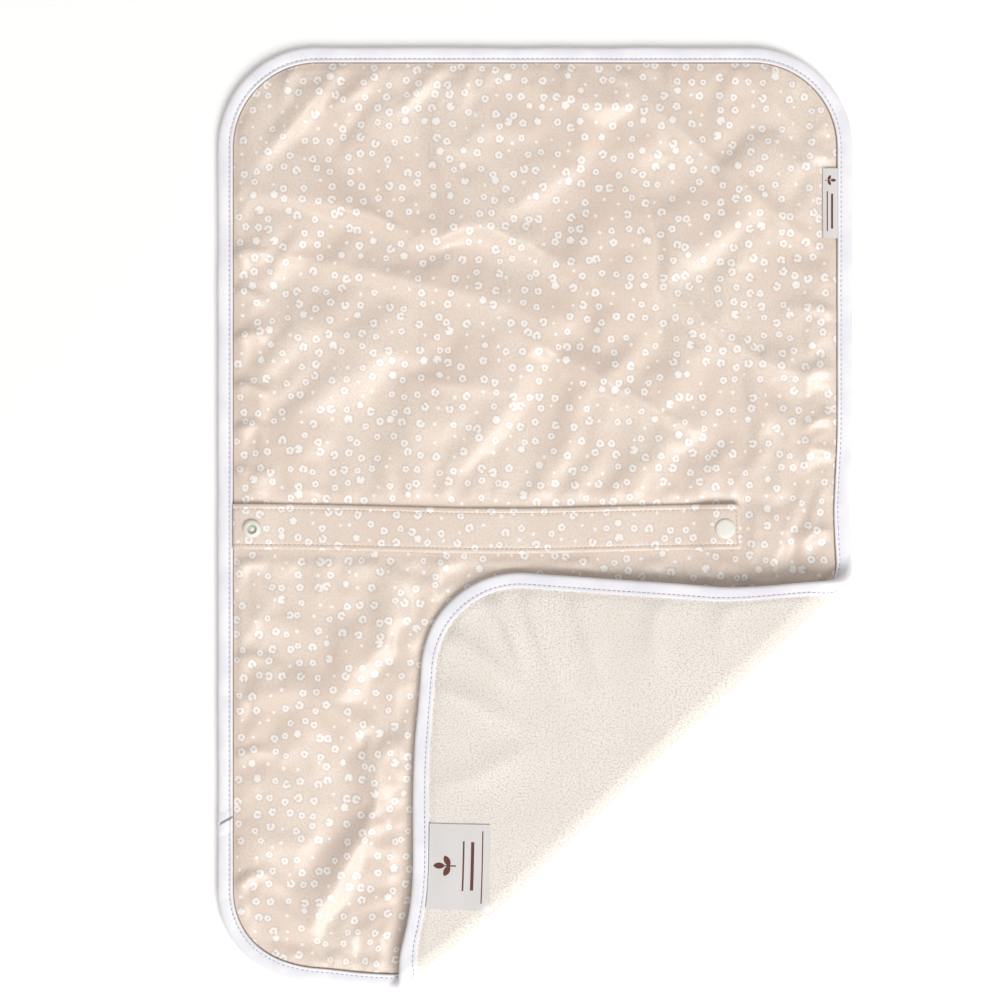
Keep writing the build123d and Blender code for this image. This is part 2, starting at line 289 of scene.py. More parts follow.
def through(points, parts=8):
    """A smooth line through the points."""
    p = np.array(points, float)
    p = np.vstack([2 * p[0] - p[1], p, 2 * p[-1] - p[-2]])
    t = np.linspace(0, 1, parts, endpoint=False)[:, None]
    runs = []
    for a, b, c, d in zip(p, p[1:], p[2:], p[3:]):
        square = 2 * a - 5 * b + 4 * c - d
        cube = 3 * b - a - 3 * c + d
        runs.append(0.5 * (2 * b + (c - a) * t + square * t ** 2 + cube * t ** 3))
    return np.vstack([*runs, p[-2:-1]])


def raise_fold(height, points, rise, width, lean):
    """Adds one fold to a grid of heights. It fades at both ends."""
    line = through(points)
    lengths = np.concatenate([[0], np.cumsum(np.linalg.norm(np.diff(line, axis=0), axis=1))])
    reach = 3.2 * width
    span_x = (grid_x > line[:, 0].min() - reach) & (grid_x < line[:, 0].max() + reach)
    span_y = (grid_y > line[:, 1].min() - reach) & (grid_y < line[:, 1].max() + reach)
    x, y = np.meshgrid(grid_x[span_x], grid_y[span_y], indexing="ij")
    nearest = np.full(x.shape, 1e9)
    side = np.zeros(x.shape)
    run = np.zeros(x.shape)
    for i, (a, b) in enumerate(zip(line, line[1:])):
        d = b - a
        t = np.clip(((x - a[0]) * d[0] + (y - a[1]) * d[1]) / (d @ d), 0, 1)
        away = np.hypot(x - a[0] - t * d[0], y - a[1] - t * d[1])
        closer = away < nearest
        nearest = np.where(closer, away, nearest)
        side = np.where(closer, np.sign(d[0] * (y - a[1]) - d[1] * (x - a[0])), side)
        run = np.where(closer, (lengths[i] + t * (lengths[i + 1] - lengths[i])) / lengths[-1], run)
    fade = np.sin(np.pi * np.clip(0.12 + 0.82 * run, 0, 1)) ** 0.8
    wide = width * (1 - lean * side)
    height[np.ix_(span_x, span_y)] += rise * fade * np.exp(-(nearest / wide) ** 1.5)


def cover_relief():
    """The cover's height above its own flat level, on the grid."""
    x, y = np.meshgrid(grid_x, grid_y, indexing="ij")
    height = 0.45 * soft_noise(x / 38 + 7, y / 30, 3) + 0.22 * soft_noise(x / 15, y / 13 + 5, 4)
    for points, rise, width, lean in cover_folds:
        raise_fold(height, points, rise, width, lean)
    for px, py, heading, rise in edge_puckers:
        tip = (px + pucker_l * math.cos(heading), py + pucker_l * math.sin(heading))
        middle = ((px + tip[0]) / 2, (py + tip[1]) / 2 + 1.5)
        raise_fold(height, [(px, py), middle, tip], 2.1 * rise, 3.4, 0.3)
    return height


def lining_relief():
    """How far the lining sinks into the turned corner, or with a minus stands out from it, on the grid."""
    x, y = np.meshgrid(grid_x, grid_y, indexing="ij")
    depth = 0.4 * soft_noise(x / 34, y / 34 + 3, 8) + 0.15 * soft_noise(x / 13, y / 13, 9)
    for points, rise, width, lean in lining_folds:
        raise_fold(depth, points, -1.4 * rise, width, lean)
    return np.clip(depth, -3.2, 0.9)


def settled(height, frames=22):
    """Cloth simulation: the cover is a little too large for its wadding, and buckles between its seams."""
    step = 2
    xs, ys = grid_x[::step], grid_y[::step]
    x, y = np.meshgrid(xs, ys, indexing="ij")
    z = height[::step, ::step]
    index, faces = grid_faces(x.shape)
    mesh = bpy.data.meshes.new("settling_cover")
    mesh.from_pydata((np.stack([x, y, z], -1).reshape(-1, 3) * MM).tolist(), [], faces.tolist())
    cloth_piece = linked("settling_cover", mesh)
    sewn = 1 - eased((inset_of(x, y) - tape_w) / 5)
    held = np.maximum(sewn, np.maximum(under_strap(x, y), under_flap(x, y)))
    group = cloth_piece.vertex_groups.new(name="sewn")
    for i in np.flatnonzero(held.ravel() > 0.02):
        group.add([int(i)], float(min(1.0, held.ravel()[i] * 1.4)), "REPLACE")
    cloth = cloth_piece.modifiers.new("cloth", "CLOTH")
    settings = cloth.settings
    settings.quality = 6
    settings.mass = 0.12
    settings.tension_stiffness = settings.compression_stiffness = 12
    settings.shear_stiffness = 6
    settings.bending_stiffness = 0.35
    settings.air_damping = 4
    settings.shrink_min = settings.shrink_max = -0.012
    settings.vertex_group_mass = "sewn"
    settings.pin_stiffness = 1.0
    settings.effector_weights.gravity = 0
    cloth.point_cache.frame_end = frames
    for f in range(1, frames + 1):
        bpy.context.scene.frame_set(f)
    graph = bpy.context.evaluated_depsgraph_get()
    result = cloth_piece.evaluated_get(graph)
    co = np.empty(3 * x.size)
    result.data.vertices.foreach_get("co", co)
    moved = co.reshape(*x.shape, 3)[:, :, 2] / MM - z
    bpy.data.objects.remove(cloth_piece)
    bpy.data.meshes.remove(mesh)
    bpy.context.scene.frame_set(1)
    moved = 2.2 * np.tanh(moved / 2.2)
    fine = np.apply_along_axis(lambda row: np.interp(grid_x, xs, row), 0, moved)
    full = np.apply_along_axis(lambda row: np.interp(grid_y, ys, row), 1, fine)
    print("cover settled by", round(float(np.abs(full).max()), 2), "mm at most")
    return height + full


def read(height, x, y):
    """A grid's height at any points, between its own."""
    u = np.clip((x - grid_x[0]) / grid_step, 0, len(grid_x) - 1.001)
    v = np.clip((y - grid_y[0]) / grid_step, 0, len(grid_y) - 1.001)
    i, j = u.astype(int), v.astype(int)
    fu, fv = u - i, v - j
    low = height[i, j] * (1 - fu) + height[i + 1, j] * fu
    high = height[i, j + 1] * (1 - fu) + height[i + 1, j + 1] * fu
    return low * (1 - fv) + high * fv


cover_heights = cover_relief()
cover_heights = settled(cover_heights)
lining_depths = lining_relief()


def cover_height(x, y):
    """The cover's top above the table.

    It dips under the tape, crowns over the wadding, and lies flat under what rests on it.
    """
    inset = inset_of(x, y)
    crown = 0.9 * eased((inset - 6) / 22)
    dip = -0.9 * np.exp(-((inset - tape_w) / 3.2) ** 2)
    free = eased((inset - tape_w + 1.5) / 6)
    free = free * (1 - under_strap(x, y)) * (1 - under_flap(x, y))
    free = free * (1 - eased(beyond_fold(x, y) / 10 + 1.6))
    from_tag = np.abs(y - (tag_low[1] + tag_high[1]) / 2)
    beside_tag = eased((x - tag_low[0] + 8) / 7) * eased((29 - from_tag) / 5)
    relief = read(cover_heights, x, y) + 0.6
    height = cover_z - 0.1 + dip * 0.8 + (crown + relief * 1.3) * free * (1 - beside_tag)
    return cover_floor + np.logaddexp(0, (height - cover_floor) * 4) / 4


def lining_height(x, y):
    """The lining's outer face in the flat mat's frame: level on the table, folded on the turned corner."""
    inset = inset_of(x, y)
    on_corner = eased(beyond_fold(x, y) / 30) * eased((inset - tape_w + 1) / 10)
    return 0.95 * eased((12.2 - inset) / 2.6) + read(lining_depths, x, y) * on_corner


# --- Meshes in the flat mat's frame, and their division at the folds

def lattice(first, second, origin, lines_a, lines_b, inset, height, step_up=True):
    """A net of square cells over the mat, cut to its outline less an inset, with heights from a function."""
    a, b = np.meshgrid(lines_a, lines_b, indexing="ij")
    x = origin[0] + a * first[0] + b * second[0]
    y = origin[1] + a * first[1] + b * second[1]
    inside = inset_of(x, y) >= inset
    hold = half_w - corner_r, half_l - corner_r
    core_x, core_y = np.clip(x, -hold[0], hold[0]), np.clip(y, -hold[1], hold[1])
    away = np.hypot(x - core_x, y - core_y)
    pull = np.where(inside, 1.0, (corner_r - inset) / np.maximum(away, 1e-6))
    x, y = core_x + (x - core_x) * pull, core_y + (y - core_y) * pull
    index, faces = grid_faces(x.shape)
    if not step_up:
        faces = faces[:, ::-1]
    kept = inside.ravel()[faces].any(axis=1)
    faces = faces[kept]
    used, faces = np.unique(faces, return_inverse=True)
    faces = faces.reshape(-1, 4)
    x, y = x.ravel()[used], y.ravel()[used]
    return np.stack([x, y, height(x, y)], -1), faces


def net_of(piece_inset, height, up, step):
    """The two nets of one layer: a straight one above the seam, and one below it that runs with the roll."""
    x_lines = np.linspace(-half_w, half_w, int(2 * half_w / step) + 1)
    y_lines = np.linspace(seam_y - 3 * step, half_l, int((half_l - seam_y) / step) + 4)
    above = lattice((1, 0), (0, 1), (0, 0), x_lines, y_lines, piece_inset, height, up)
    fine = np.arange(-19, 32, min(step, rolled_step))
    before = np.linspace(-310, -19, int(291 / step), endpoint=False)
    after = np.linspace(fine[-1], 195, int(165 / step))[1:]
    lines = np.concatenate([before, fine, after])
    lines[np.argmin(np.abs(lines))] = 0
    a_lines = np.linspace(-100, 490, int(590 / step))
    below = lattice(along, -outward, fold_foot, a_lines, -lines[::-1], piece_inset, height, up)
    return above, below


def side_of(flat):
    """Which length each point belongs to: 0 above the seam, 1 below it, 2 past the middle of the roll."""
    below = np.where(beyond_fold(flat[:, 0], flat[:, 1]) > 0, 2, 1)
    return np.where(flat[:, 1] > seam_y, 0, below)


lengths = [
    ("upper_length", "mat", "upper"),
    ("lower_length", "mat", "corner_roll"),
    ("turned_corner", "corner_roll", "corner"),
]


def bend_share(flat, number):
    """How far a point of one of the three lengths follows its second body."""
    if number == 0:
        return eased((flat[:, 1] - upper_y - fold_low) / (fold_high - fold_low))
    share = roll_share(flat) * 2
    return np.clip(share - (number - 1), 0, 1)


def cut_at_folds(verts, faces):
    """The same mesh with edges along the seam and the middle of the roll, so that it can be divided there."""
    bm = bmesh.new()
    points = [bm.verts.new(v) for v in verts]
    for face in faces:
        bm.faces.new([points[i] for i in face])
    for co, no in (((0, seam_y, 0), (0, 1, 0)), ((*fold_foot, 0), tuple(outward))):
        whole = bm.verts[:] + bm.edges[:] + bm.faces[:]
        bmesh.ops.bisect_plane(bm, geom=whole, dist=1e-4, plane_co=co, plane_no=no)
    bm.verts.index_update()
    flat = np.array([v.co for v in bm.verts])
    loops = [[v.index for v in f.verts] for f in bm.faces]
    bm.free()
    return flat, loops


def smooth_normals(points, loops):
    """Each point's normal, weighted by the faces round it."""
    normals = np.zeros_like(points)
    for count in {len(f) for f in loops}:
        ring = np.array([f for f in loops if len(f) == count])
        face = np.zeros((len(ring), 3))
        for k in range(count):
            face += np.cross(points[ring[:, k]], points[ring[:, (k + 1) % count]])
        for k in range(count):
            np.add.at(normals, ring[:, k], face)
    return normals / np.maximum(np.linalg.norm(normals, axis=1), 1e-12)[:, None]


def new_piece(name, points, loops, uv, normals, material):
    """A mesh piece from points in millimetres, with a UV map in metres."""
    mesh = bpy.data.meshes.new(name)
    mesh.from_pydata((points * MM).tolist(), [], loops)
    mesh.polygons.foreach_set("use_smooth", np.ones(len(mesh.polygons), bool))
    layer = mesh.uv_layers.new(name="flat")
    corner = np.empty(len(mesh.loops), int)
    mesh.loops.foreach_get("vertex_index", corner)
    layer.data.foreach_set("uv", (uv[corner] * MM).ravel())
    if normals is not None:
        mesh.normals_split_custom_set_from_vertices(normals.tolist())
    mesh.materials.append(material)
    piece = linked(name, mesh)
    return piece


def bend(piece):
    """Bakes a piece's placement into its mesh."""
    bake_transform(piece)


def flat_area(flat, loops):
    """A flat mesh's area in square metres."""
    total = 0.0
    for f in loops:
        x, y = flat[f, 0], flat[f, 1]
        total += abs(np.dot(x, np.roll(y, -1)) - np.dot(y, np.roll(x, -1))) / 2
    return total * MM * MM


def divided(name, nets, material):
    """One layer as pieces that meet edge to edge: each piece, its number, its flat points and its area."""
    made = []
    for verts, faces, allowed in nets:
        flat, loops = cut_at_folds(verts, faces)
        points = placed(flat)
        normals = smooth_normals(points, loops)
        middles = np.array([flat[f].mean(axis=0) for f in loops])
        sides = side_of(middles)
        for number in allowed:
            chosen = [loops[i] for i in np.flatnonzero(sides == number)]
            if not chosen:
                continue
            used, inverse = np.unique(np.concatenate(chosen), return_inverse=True)
            ends = np.cumsum([len(f) for f in chosen])[:-1]
            fresh = [part.tolist() for part in np.split(inverse, ends)]
            full_name = f"{name}_{lengths[number][0]}"
            piece = new_piece(full_name, points[used], fresh, flat[used, :2], normals[used], material)
            bend(piece)
            made.append((piece, number, flat[used], flat_area(flat[used], fresh)))
    return made


# --- Materials

def srgb(code):
    """An sRGB hex colour as linear values with alpha."""
    parts = [int(code[i:i + 2], 16) / 255 for i in (1, 3, 5)]
    return (*[c / 12.92 if c <= 0.04045 else ((c + 0.055) / 1.055) ** 2.4 for c in parts], 1.0)


def add(tree, kind, *values, out=0, **named):
    """Adds a node with its settings and links, and returns one of its outputs.

    Plain values and sockets go to its inputs in order. Of the named ones, in6 is an input by number, a name
    with a capital is an input by name, and the rest are the node's settings.
    """
    node = tree.nodes.new(kind)
    wanted = list(zip(node.inputs, values))
    for key, value in named.items():
        if key[2:].isdigit():
            wanted.append((node.inputs[int(key[2:])], value))
        elif key[0].isupper():
            wanted.append((node.inputs[key.replace("_", " ")], value))
        else:
            setattr(node, key, value)
    for socket, value in wanted:
        if isinstance(value, bpy.types.NodeSocket):
            tree.links.new(value, socket)
        else:
            socket.default_value = value
    return node.outputs[out] if node.outputs else node


def new_material(name):
    """An empty material and its node tree."""
    material = bpy.data.materials.new(name)
    material.use_nodes = True
    material.node_tree.nodes.clear()
    return material, material.node_tree


def blossoms(tree, uv, spacing, soft):
    """Small printed blossoms, one near each point of a loose net, and plain dots between them.

    Each blossom is a puffy ring of three or five lobes about a small eye; a few are broken and a few filled.
    Returns the ink and the faint rim round it.
    """
    place = add(tree, "ShaderNodeVectorMath", uv, operation="SCALE", in3=1 / (spacing * MM))
    net = add(tree, "ShaderNodeTexVoronoi", voronoi_dimensions="2D", feature="F1", Vector=place, Scale=1.0,
              Randomness=0.66).node.outputs
    local = add(tree, "ShaderNodeVectorMath", place, net["Position"], operation="SUBTRACT")
    uneven = add(tree, "ShaderNodeTexNoise", Vector=place, Scale=5.0, Detail=1.0, noise_dimensions="2D",
                 out=1)
    local = add(tree, "ShaderNodeVectorMath", uneven, (0.12, 0.12, 0), local, operation="MULTIPLY_ADD")
    local = add(tree, "ShaderNodeVectorMath", local, (0.06, 0.06, 0), operation="SUBTRACT")
    part = add(tree, "ShaderNodeSeparateXYZ", local).node.outputs
    pick = add(tree, "ShaderNodeSeparateColor", net["Color"]).node.outputs
    away = add(tree, "ShaderNodeVectorMath", local, operation="LENGTH", out=1)
    angle = add(tree, "ShaderNodeMath", part[1], part[0], operation="ARCTAN2")
    turn = add(tree, "ShaderNodeMath", pick[0], math.tau, operation="MULTIPLY")
    five = add(tree, "ShaderNodeMath", pick[1], 0.45, operation="GREATER_THAN")
    half_lobes = add(tree, "ShaderNodeMath", five, 1.0, 1.5, operation="MULTIPLY_ADD")
    petal = add(tree, "ShaderNodeMath", angle, half_lobes, turn, operation="MULTIPLY_ADD")
    petal = add(tree, "ShaderNodeMath", petal, operation="COSINE")
    wave = add(tree, "ShaderNodeMath", petal, operation="ABSOLUTE")
    large = add(tree, "ShaderNodeMath", pick[2], 0.27, operation="GREATER_THAN")
    radius = add(tree, "ShaderNodeMath", pick[2], 0.11, 0.105, operation="MULTIPLY_ADD")
    radius = add(tree, "ShaderNodeMath", large, 0.065, radius, operation="MULTIPLY_ADD")
    depth = add(tree, "ShaderNodeMath", large, 0.17, operation="MULTIPLY")
    lobed = add(tree, "ShaderNodeMath", wave, depth, 0.9, operation="MULTIPLY_ADD")
    lobed = add(tree, "ShaderNodeMath", radius, lobed, operation="MULTIPLY")
    reach = add(tree, "ShaderNodeMath", away, lobed, operation="DIVIDE")
    disc = add(tree, "ShaderNodeMapRange", reach, 1 - soft, 1 + soft, 1.0, 0.0,
               interpolation_type="SMOOTHSTEP")
    core = add(tree, "ShaderNodeMath", away, radius, operation="DIVIDE")
    eye = add(tree, "ShaderNodeMapRange", core, 0.36 - soft, 0.36 + soft, 1.0, 0.0,
              interpolation_type="SMOOTHSTEP")
    open_eye = add(tree, "ShaderNodeMath", pick[1], 0.86, operation="LESS_THAN")
    open_eye = add(tree, "ShaderNodeMath", open_eye, large, operation="MULTIPLY")
    eye = add(tree, "ShaderNodeMath", eye, open_eye, operation="MULTIPLY")
    gap_at = add(tree, "ShaderNodeMath", turn, 1.7, angle, operation="MULTIPLY_ADD")
    gap_at = add(tree, "ShaderNodeMath", gap_at, math.pi, -math.pi, operation="WRAP")
    gap_at = add(tree, "ShaderNodeMath", gap_at, operation="ABSOLUTE")
    gap = add(tree, "ShaderNodeMapRange", gap_at, 0.1, 0.6, 1.0, 0.0, interpolation_type="SMOOTHSTEP")
    broken = add(tree, "ShaderNodeMath", pick[2], 0.8, operation="GREATER_THAN")
    gap = add(tree, "ShaderNodeMath", gap, broken, operation="MULTIPLY")
    bare = add(tree, "ShaderNodeMath", eye, gap, operation="MAXIMUM")
    inked = add(tree, "ShaderNodeMath", 1.0, bare, operation="SUBTRACT")
    ring = add(tree, "ShaderNodeMath", disc, inked, operation="MULTIPLY")
    halo = add(tree, "ShaderNodeMapRange", reach, 1.1, 1.7, 1.0, 0.0, interpolation_type="SMOOTHSTEP")
    halo = add(tree, "ShaderNodeMath", halo, large, operation="MULTIPLY")
    rim = add(tree, "ShaderNodeMath", halo, ring, operation="SUBTRACT", use_clamp=True)
    return ring, rim


def painted_seam_shade_line(tree, uv):
    """Painted shade: 1 along the fine line where the cover tucks under the edge tape, by the flat mat's
    outline.
    """
    flat = add(tree, "ShaderNodeVectorMath", uv, operation="ABSOLUTE")
    hold = ((half_w - corner_r) * MM, (half_l - corner_r) * MM, 0)
    past = add(tree, "ShaderNodeVectorMath", flat, hold, operation="SUBTRACT")
    outer = add(tree, "ShaderNodeVectorMath", past, (0, 0, 0), operation="MAXIMUM")
    length = add(tree, "ShaderNodeVectorMath", outer, operation="LENGTH", out=1)
    part = add(tree, "ShaderNodeSeparateXYZ", past).node.outputs
    inner = add(tree, "ShaderNodeMath", part[0], part[1], operation="MAXIMUM")
    inner = add(tree, "ShaderNodeMath", inner, 0.0, operation="MINIMUM")
    outside = add(tree, "ShaderNodeMath", length, inner, operation="ADD")
    from_line = add(tree, "ShaderNodeMath", outside, (corner_r - tape_w - 0.2) * MM, operation="SUBTRACT")
    from_line = add(tree, "ShaderNodeMath", from_line, operation="ABSOLUTE")
    return add(tree, "ShaderNodeMapRange", from_line, 0.35 * MM, 1.0 * MM, 1.0, 0.0,
               interpolation_type="SMOOTHSTEP")


def printed_cover():
    """Knitted polyester with a film laminated behind it, screen printed: satin sheen and a very fine knit."""
    material, tree = new_material("polyester_knit_laminated_printed")
    uv = add(tree, "ShaderNodeUVMap", uv_map="flat")
    cloud = add(tree, "ShaderNodeTexNoise", noise_dimensions="2D", Vector=uv, Scale=14.0, Detail=3.0)
    speck = add(tree, "ShaderNodeTexNoise", noise_dimensions="2D", Vector=uv, Scale=1 / (1.5 * MM),
                Detail=3.0)
    clouded = add(tree, "ShaderNodeMapRange", cloud, 0.3, 0.7, interpolation_type="SMOOTHSTEP")
    ground = add(tree, "ShaderNodeMix", clouded, data_type="RGBA", in6=srgb("#dfcfc3"),
                 in7=srgb("#e5d8cd"), out=2)
    specked = add(tree, "ShaderNodeMapRange", speck, 0.3, 0.75, 0.0, 0.5, interpolation_type="SMOOTHSTEP")
    ground = add(tree, "ShaderNodeMix", specked, data_type="RGBA", in6=ground, in7=srgb("#d2bfae"), out=2)
    ring, rim = blossoms(tree, uv, 9.4, 0.22)
    rim = add(tree, "ShaderNodeMath", rim, 0.34, operation="MULTIPLY")
    rimmed = add(tree, "ShaderNodeMix", rim, data_type="RGBA", in6=ground, in7=srgb("#b9aeaa"), out=2)
    ring = add(tree, "ShaderNodeMath", ring, 0.9, operation="MULTIPLY")
    printed = add(tree, "ShaderNodeMix", ring, data_type="RGBA", in6=rimmed, in7=srgb("#f3f0ee"), out=2)
    # the print is darkened to brown along the tape's inner edge: painted shade for the shadow in the gap
    # under the tape
    seam_shade_amount = add(tree, "ShaderNodeMath", painted_seam_shade_line(tree, uv), 0.7, operation="MULTIPLY")
    colour = add(tree, "ShaderNodeMix", seam_shade_amount, data_type="RGBA", in6=printed, in7=srgb("#785c4f"), out=2)
    # a knit of 0.35 mm is too fine to show, so it is drawn at 0.9 mm
    knit = add(tree, "ShaderNodeTexWave", bands_direction="DIAGONAL", Vector=uv, Scale=0.31 / (0.9 * MM),
               Distortion=0.6, out=1)
    grain = add(tree, "ShaderNodeTexNoise", noise_dimensions="2D", Vector=uv, Scale=1 / (1.3 * MM),
                Detail=2.0)
    relief = add(tree, "ShaderNodeMath", grain, 0.6, knit, operation="MULTIPLY_ADD")
    bump = add(tree, "ShaderNodeBump", Strength=0.16, Distance=0.12 * MM, Height=relief)
    surface = add(tree, "ShaderNodeBsdfPrincipled", Base_Color=colour, Normal=bump, Roughness=0.38, IOR=1.5,
                  Specular_IOR_Level=0.6, Sheen_Weight=0.25, Sheen_Roughness=0.4, Sheen_Tint=srgb("#fff2e6"))
    add(tree, "ShaderNodeOutputMaterial", surface)
    return material


def pile_lining():
    """Polyester fleece with a short looped pile: matt, warm ivory, with a fine uneven nap."""
    material, tree = new_material("polyester_fleece_short_pile")
    uv = add(tree, "ShaderNodeUVMap", uv_map="flat")
    # loops of 0.6 mm are drawn at 1.2 mm
    loops = add(tree, "ShaderNodeTexVoronoi", voronoi_dimensions="2D", feature="SMOOTH_F1", Vector=uv,
                Scale=1 / (1.2 * MM), Smoothness=0.4)
    nap = add(tree, "ShaderNodeTexNoise", noise_dimensions="2D", Vector=uv, Scale=1 / (1.7 * MM), Detail=4.0,
              Roughness=0.7)
    sweep = add(tree, "ShaderNodeTexNoise", noise_dimensions="2D", Vector=uv, Scale=20.0, Detail=3.0)
    # the fleece is darkened towards the hollows between its loops: painted shade in the pile
    pile_hollow_shade = add(tree, "ShaderNodeMapRange", loops, 0.1, 0.75, interpolation_type="SMOOTHSTEP")
    tone = add(tree, "ShaderNodeMix", pile_hollow_shade, data_type="RGBA", in6=srgb("#f3eee9"), in7=srgb("#d4ccc3"), out=2)
    raised = add(tree, "ShaderNodeMapRange", nap, 0.4, 0.62, 0.0, 0.5, interpolation_type="SMOOTHSTEP")
    tone = add(tree, "ShaderNodeMix", raised, data_type="RGBA", in6=tone, in7=srgb("#e9e4de"), out=2)
    brushed = add(tree, "ShaderNodeMapRange", sweep, 0.35, 0.7, 0.0, 0.35, interpolation_type="SMOOTHSTEP")
    tone = add(tree, "ShaderNodeMix", brushed, data_type="RGBA", in6=tone, in7=srgb("#dfd8d0"), out=2)
    height = add(tree, "ShaderNodeMath", nap, loops, operation="SUBTRACT")
    bump = add(tree, "ShaderNodeBump", Strength=0.4, Distance=0.3 * MM, Height=height)
    surface = add(tree, "ShaderNodeBsdfPrincipled", Base_Color=tone, Normal=bump, Roughness=0.95, IOR=1.45,
                  Specular_IOR_Level=0.15, Sheen_Weight=0.35, Sheen_Roughness=0.6, Sheen_Tint=srgb("#fffaf0"))
    add(tree, "ShaderNodeOutputMaterial", surface)
    return material


def edge_tape():
    """Woven polyester satin tape, folded and pressed: cool white, a soft gloss and ribs across it."""
    material, tree = new_material("polyester_satin_tape_woven")
    uv = add(tree, "ShaderNodeUVMap", uv_map="flat")
    # the weft of 0.3 mm is drawn at 0.9 mm; u runs along the tape
    rib = add(tree, "ShaderNodeTexWave", bands_direction="X", Vector=uv, Scale=0.31 / (0.9 * MM),
              Distortion=0.5, out=1)
    shade = add(tree, "ShaderNodeTexNoise", noise_dimensions="2D", Vector=uv, Scale=35.0, Detail=3.0)
    shade = add(tree, "ShaderNodeMapRange", shade, 0.35, 0.7, interpolation_type="SMOOTHSTEP")
    tone = add(tree, "ShaderNodeMix", shade, data_type="RGBA", in6=srgb("#f0f0f5"), in7=srgb("#e6e6ed"),
               out=2)
    bump = add(tree, "ShaderNodeBump", Strength=0.12, Distance=0.1 * MM, Height=rib)
    surface = add(tree, "ShaderNodeBsdfPrincipled", Base_Color=tone, Normal=bump, Roughness=0.42, IOR=1.5,
                  Specular_IOR_Level=0.5, Sheen_Weight=0.2, Sheen_Roughness=0.35)
    add(tree, "ShaderNodeOutputMaterial", surface)
    return material


def sewing_thread(name, light, dark):
    """Spun polyester thread: two plies, slightly glossy."""
    material, tree = new_material(name)
    where = add(tree, "ShaderNodeTexCoord", out="Object")
    ply = add(tree, "ShaderNodeTexNoise", Vector=where, Scale=1 / (0.8 * MM), Detail=2.0)
    ply = add(tree, "ShaderNodeMapRange", ply, 0.35, 0.65, interpolation_type="SMOOTHSTEP")
    tone = add(tree, "ShaderNodeMix", ply, data_type="RGBA", in6=srgb(dark), in7=srgb(light), out=2)
    surface = add(tree, "ShaderNodeBsdfPrincipled", Base_Color=tone, Roughness=0.5, Sheen_Weight=0.2)
    add(tree, "ShaderNodeOutputMaterial", surface)
    return material


def label_satin():
    """Woven polyester satin ribbon, heat cut: pale grey-white, glossy across its fine ribs."""
    material, tree = new_material("polyester_satin_ribbon")
    uv = add(tree, "ShaderNodeUVMap", uv_map="flat")
    # threads of 0.2 mm are drawn at 0.8 mm
    rib = add(tree, "ShaderNodeTexWave", bands_direction="Y", Vector=uv, Scale=0.31 / (0.8 * MM),
              Distortion=0.4, out=1)
    tone = add(tree, "ShaderNodeMix", rib, data_type="RGBA", in6=srgb("#dedbda"), in7=srgb("#d2d0d0"), out=2)
    bump = add(tree, "ShaderNodeBump", Strength=0.08, Distance=0.1 * MM, Height=rib)
    surface = add(tree, "ShaderNodeBsdfPrincipled", Base_Color=tone, Normal=bump, Roughness=0.36,
                  Specular_IOR_Level=0.55, Sheen_Weight=0.15)
    add(tree, "ShaderNodeOutputMaterial", surface)
    return material


def label_ink():
    """Screen-printed ink: flat dark brown, a little mottled."""
    material, tree = new_material("screen_print_ink")
    where = add(tree, "ShaderNodeTexCoord", out="Object")
    mottle = add(tree, "ShaderNodeTexNoise", Vector=where, Scale=1 / (1.5 * MM))
    tone = add(tree, "ShaderNodeMix", mottle, data_type="RGBA", in6=srgb("#57291f"), in7=srgb("#70423a"),
               out=2)
    surface = add(tree, "ShaderNodeBsdfPrincipled", Base_Color=tone, Roughness=0.7)
    add(tree, "ShaderNodeOutputMaterial", surface)
    return material


def snap_resin(name, light, dark):
    """Injection moulded acetal: smooth, slightly translucent, with a faint flow pattern."""
    material, tree = new_material(name)
    where = add(tree, "ShaderNodeTexCoord", out="Object")
    flow = add(tree, "ShaderNodeTexNoise", Vector=where, Scale=1 / (4 * MM), Detail=2.0)
    tone = add(tree, "ShaderNodeMix", flow, data_type="RGBA", in6=srgb(light), in7=srgb(dark), out=2)
    fine = add(tree, "ShaderNodeTexNoise", Vector=where, Scale=1 / (0.4 * MM))
    bump = add(tree, "ShaderNodeBump", Strength=0.05, Distance=0.05 * MM, Height=fine)
    surface = add(tree, "ShaderNodeBsdfPrincipled", Base_Color=tone, Normal=bump, Roughness=0.3, IOR=1.48,
                  Specular_IOR_Level=0.5, Subsurface_Weight=0.12, Subsurface_Scale=2 * MM)
    add(tree, "ShaderNodeOutputMaterial", surface)
    return material


def white_wadding():
    """Bonded polyester wadding: white crimped fibre, quite matt."""
    material, tree = new_material("polyester_wadding_bonded")
    where = add(tree, "ShaderNodeTexCoord", out="Object")
    fibre = add(tree, "ShaderNodeTexNoise", Vector=where, Scale=1 / (1.2 * MM), Detail=5.0, Distortion=1.5)
    tone = add(tree, "ShaderNodeMix", fibre, data_type="RGBA", in6=srgb("#f4f3ee"), in7=srgb("#dedcd4"),
               out=2)
    bump = add(tree, "ShaderNodeBump", Strength=0.6, Distance=0.5 * MM, Height=fibre)
    surface = add(tree, "ShaderNodeBsdfPrincipled", Base_Color=tone, Normal=bump, Roughness=1.0,
                  Specular_IOR_Level=0.1)
    add(tree, "ShaderNodeOutputMaterial", surface)
    return material


def painted_board():
    """The table under the mat: white painted board, quite matt."""
    material, tree = new_material("painted_board_matt")
    surface = add(tree, "ShaderNodeBsdfPrincipled", Base_Color=srgb("#fbfbfb"), Roughness=0.9)
    add(tree, "ShaderNodeOutputMaterial", surface)
    return material


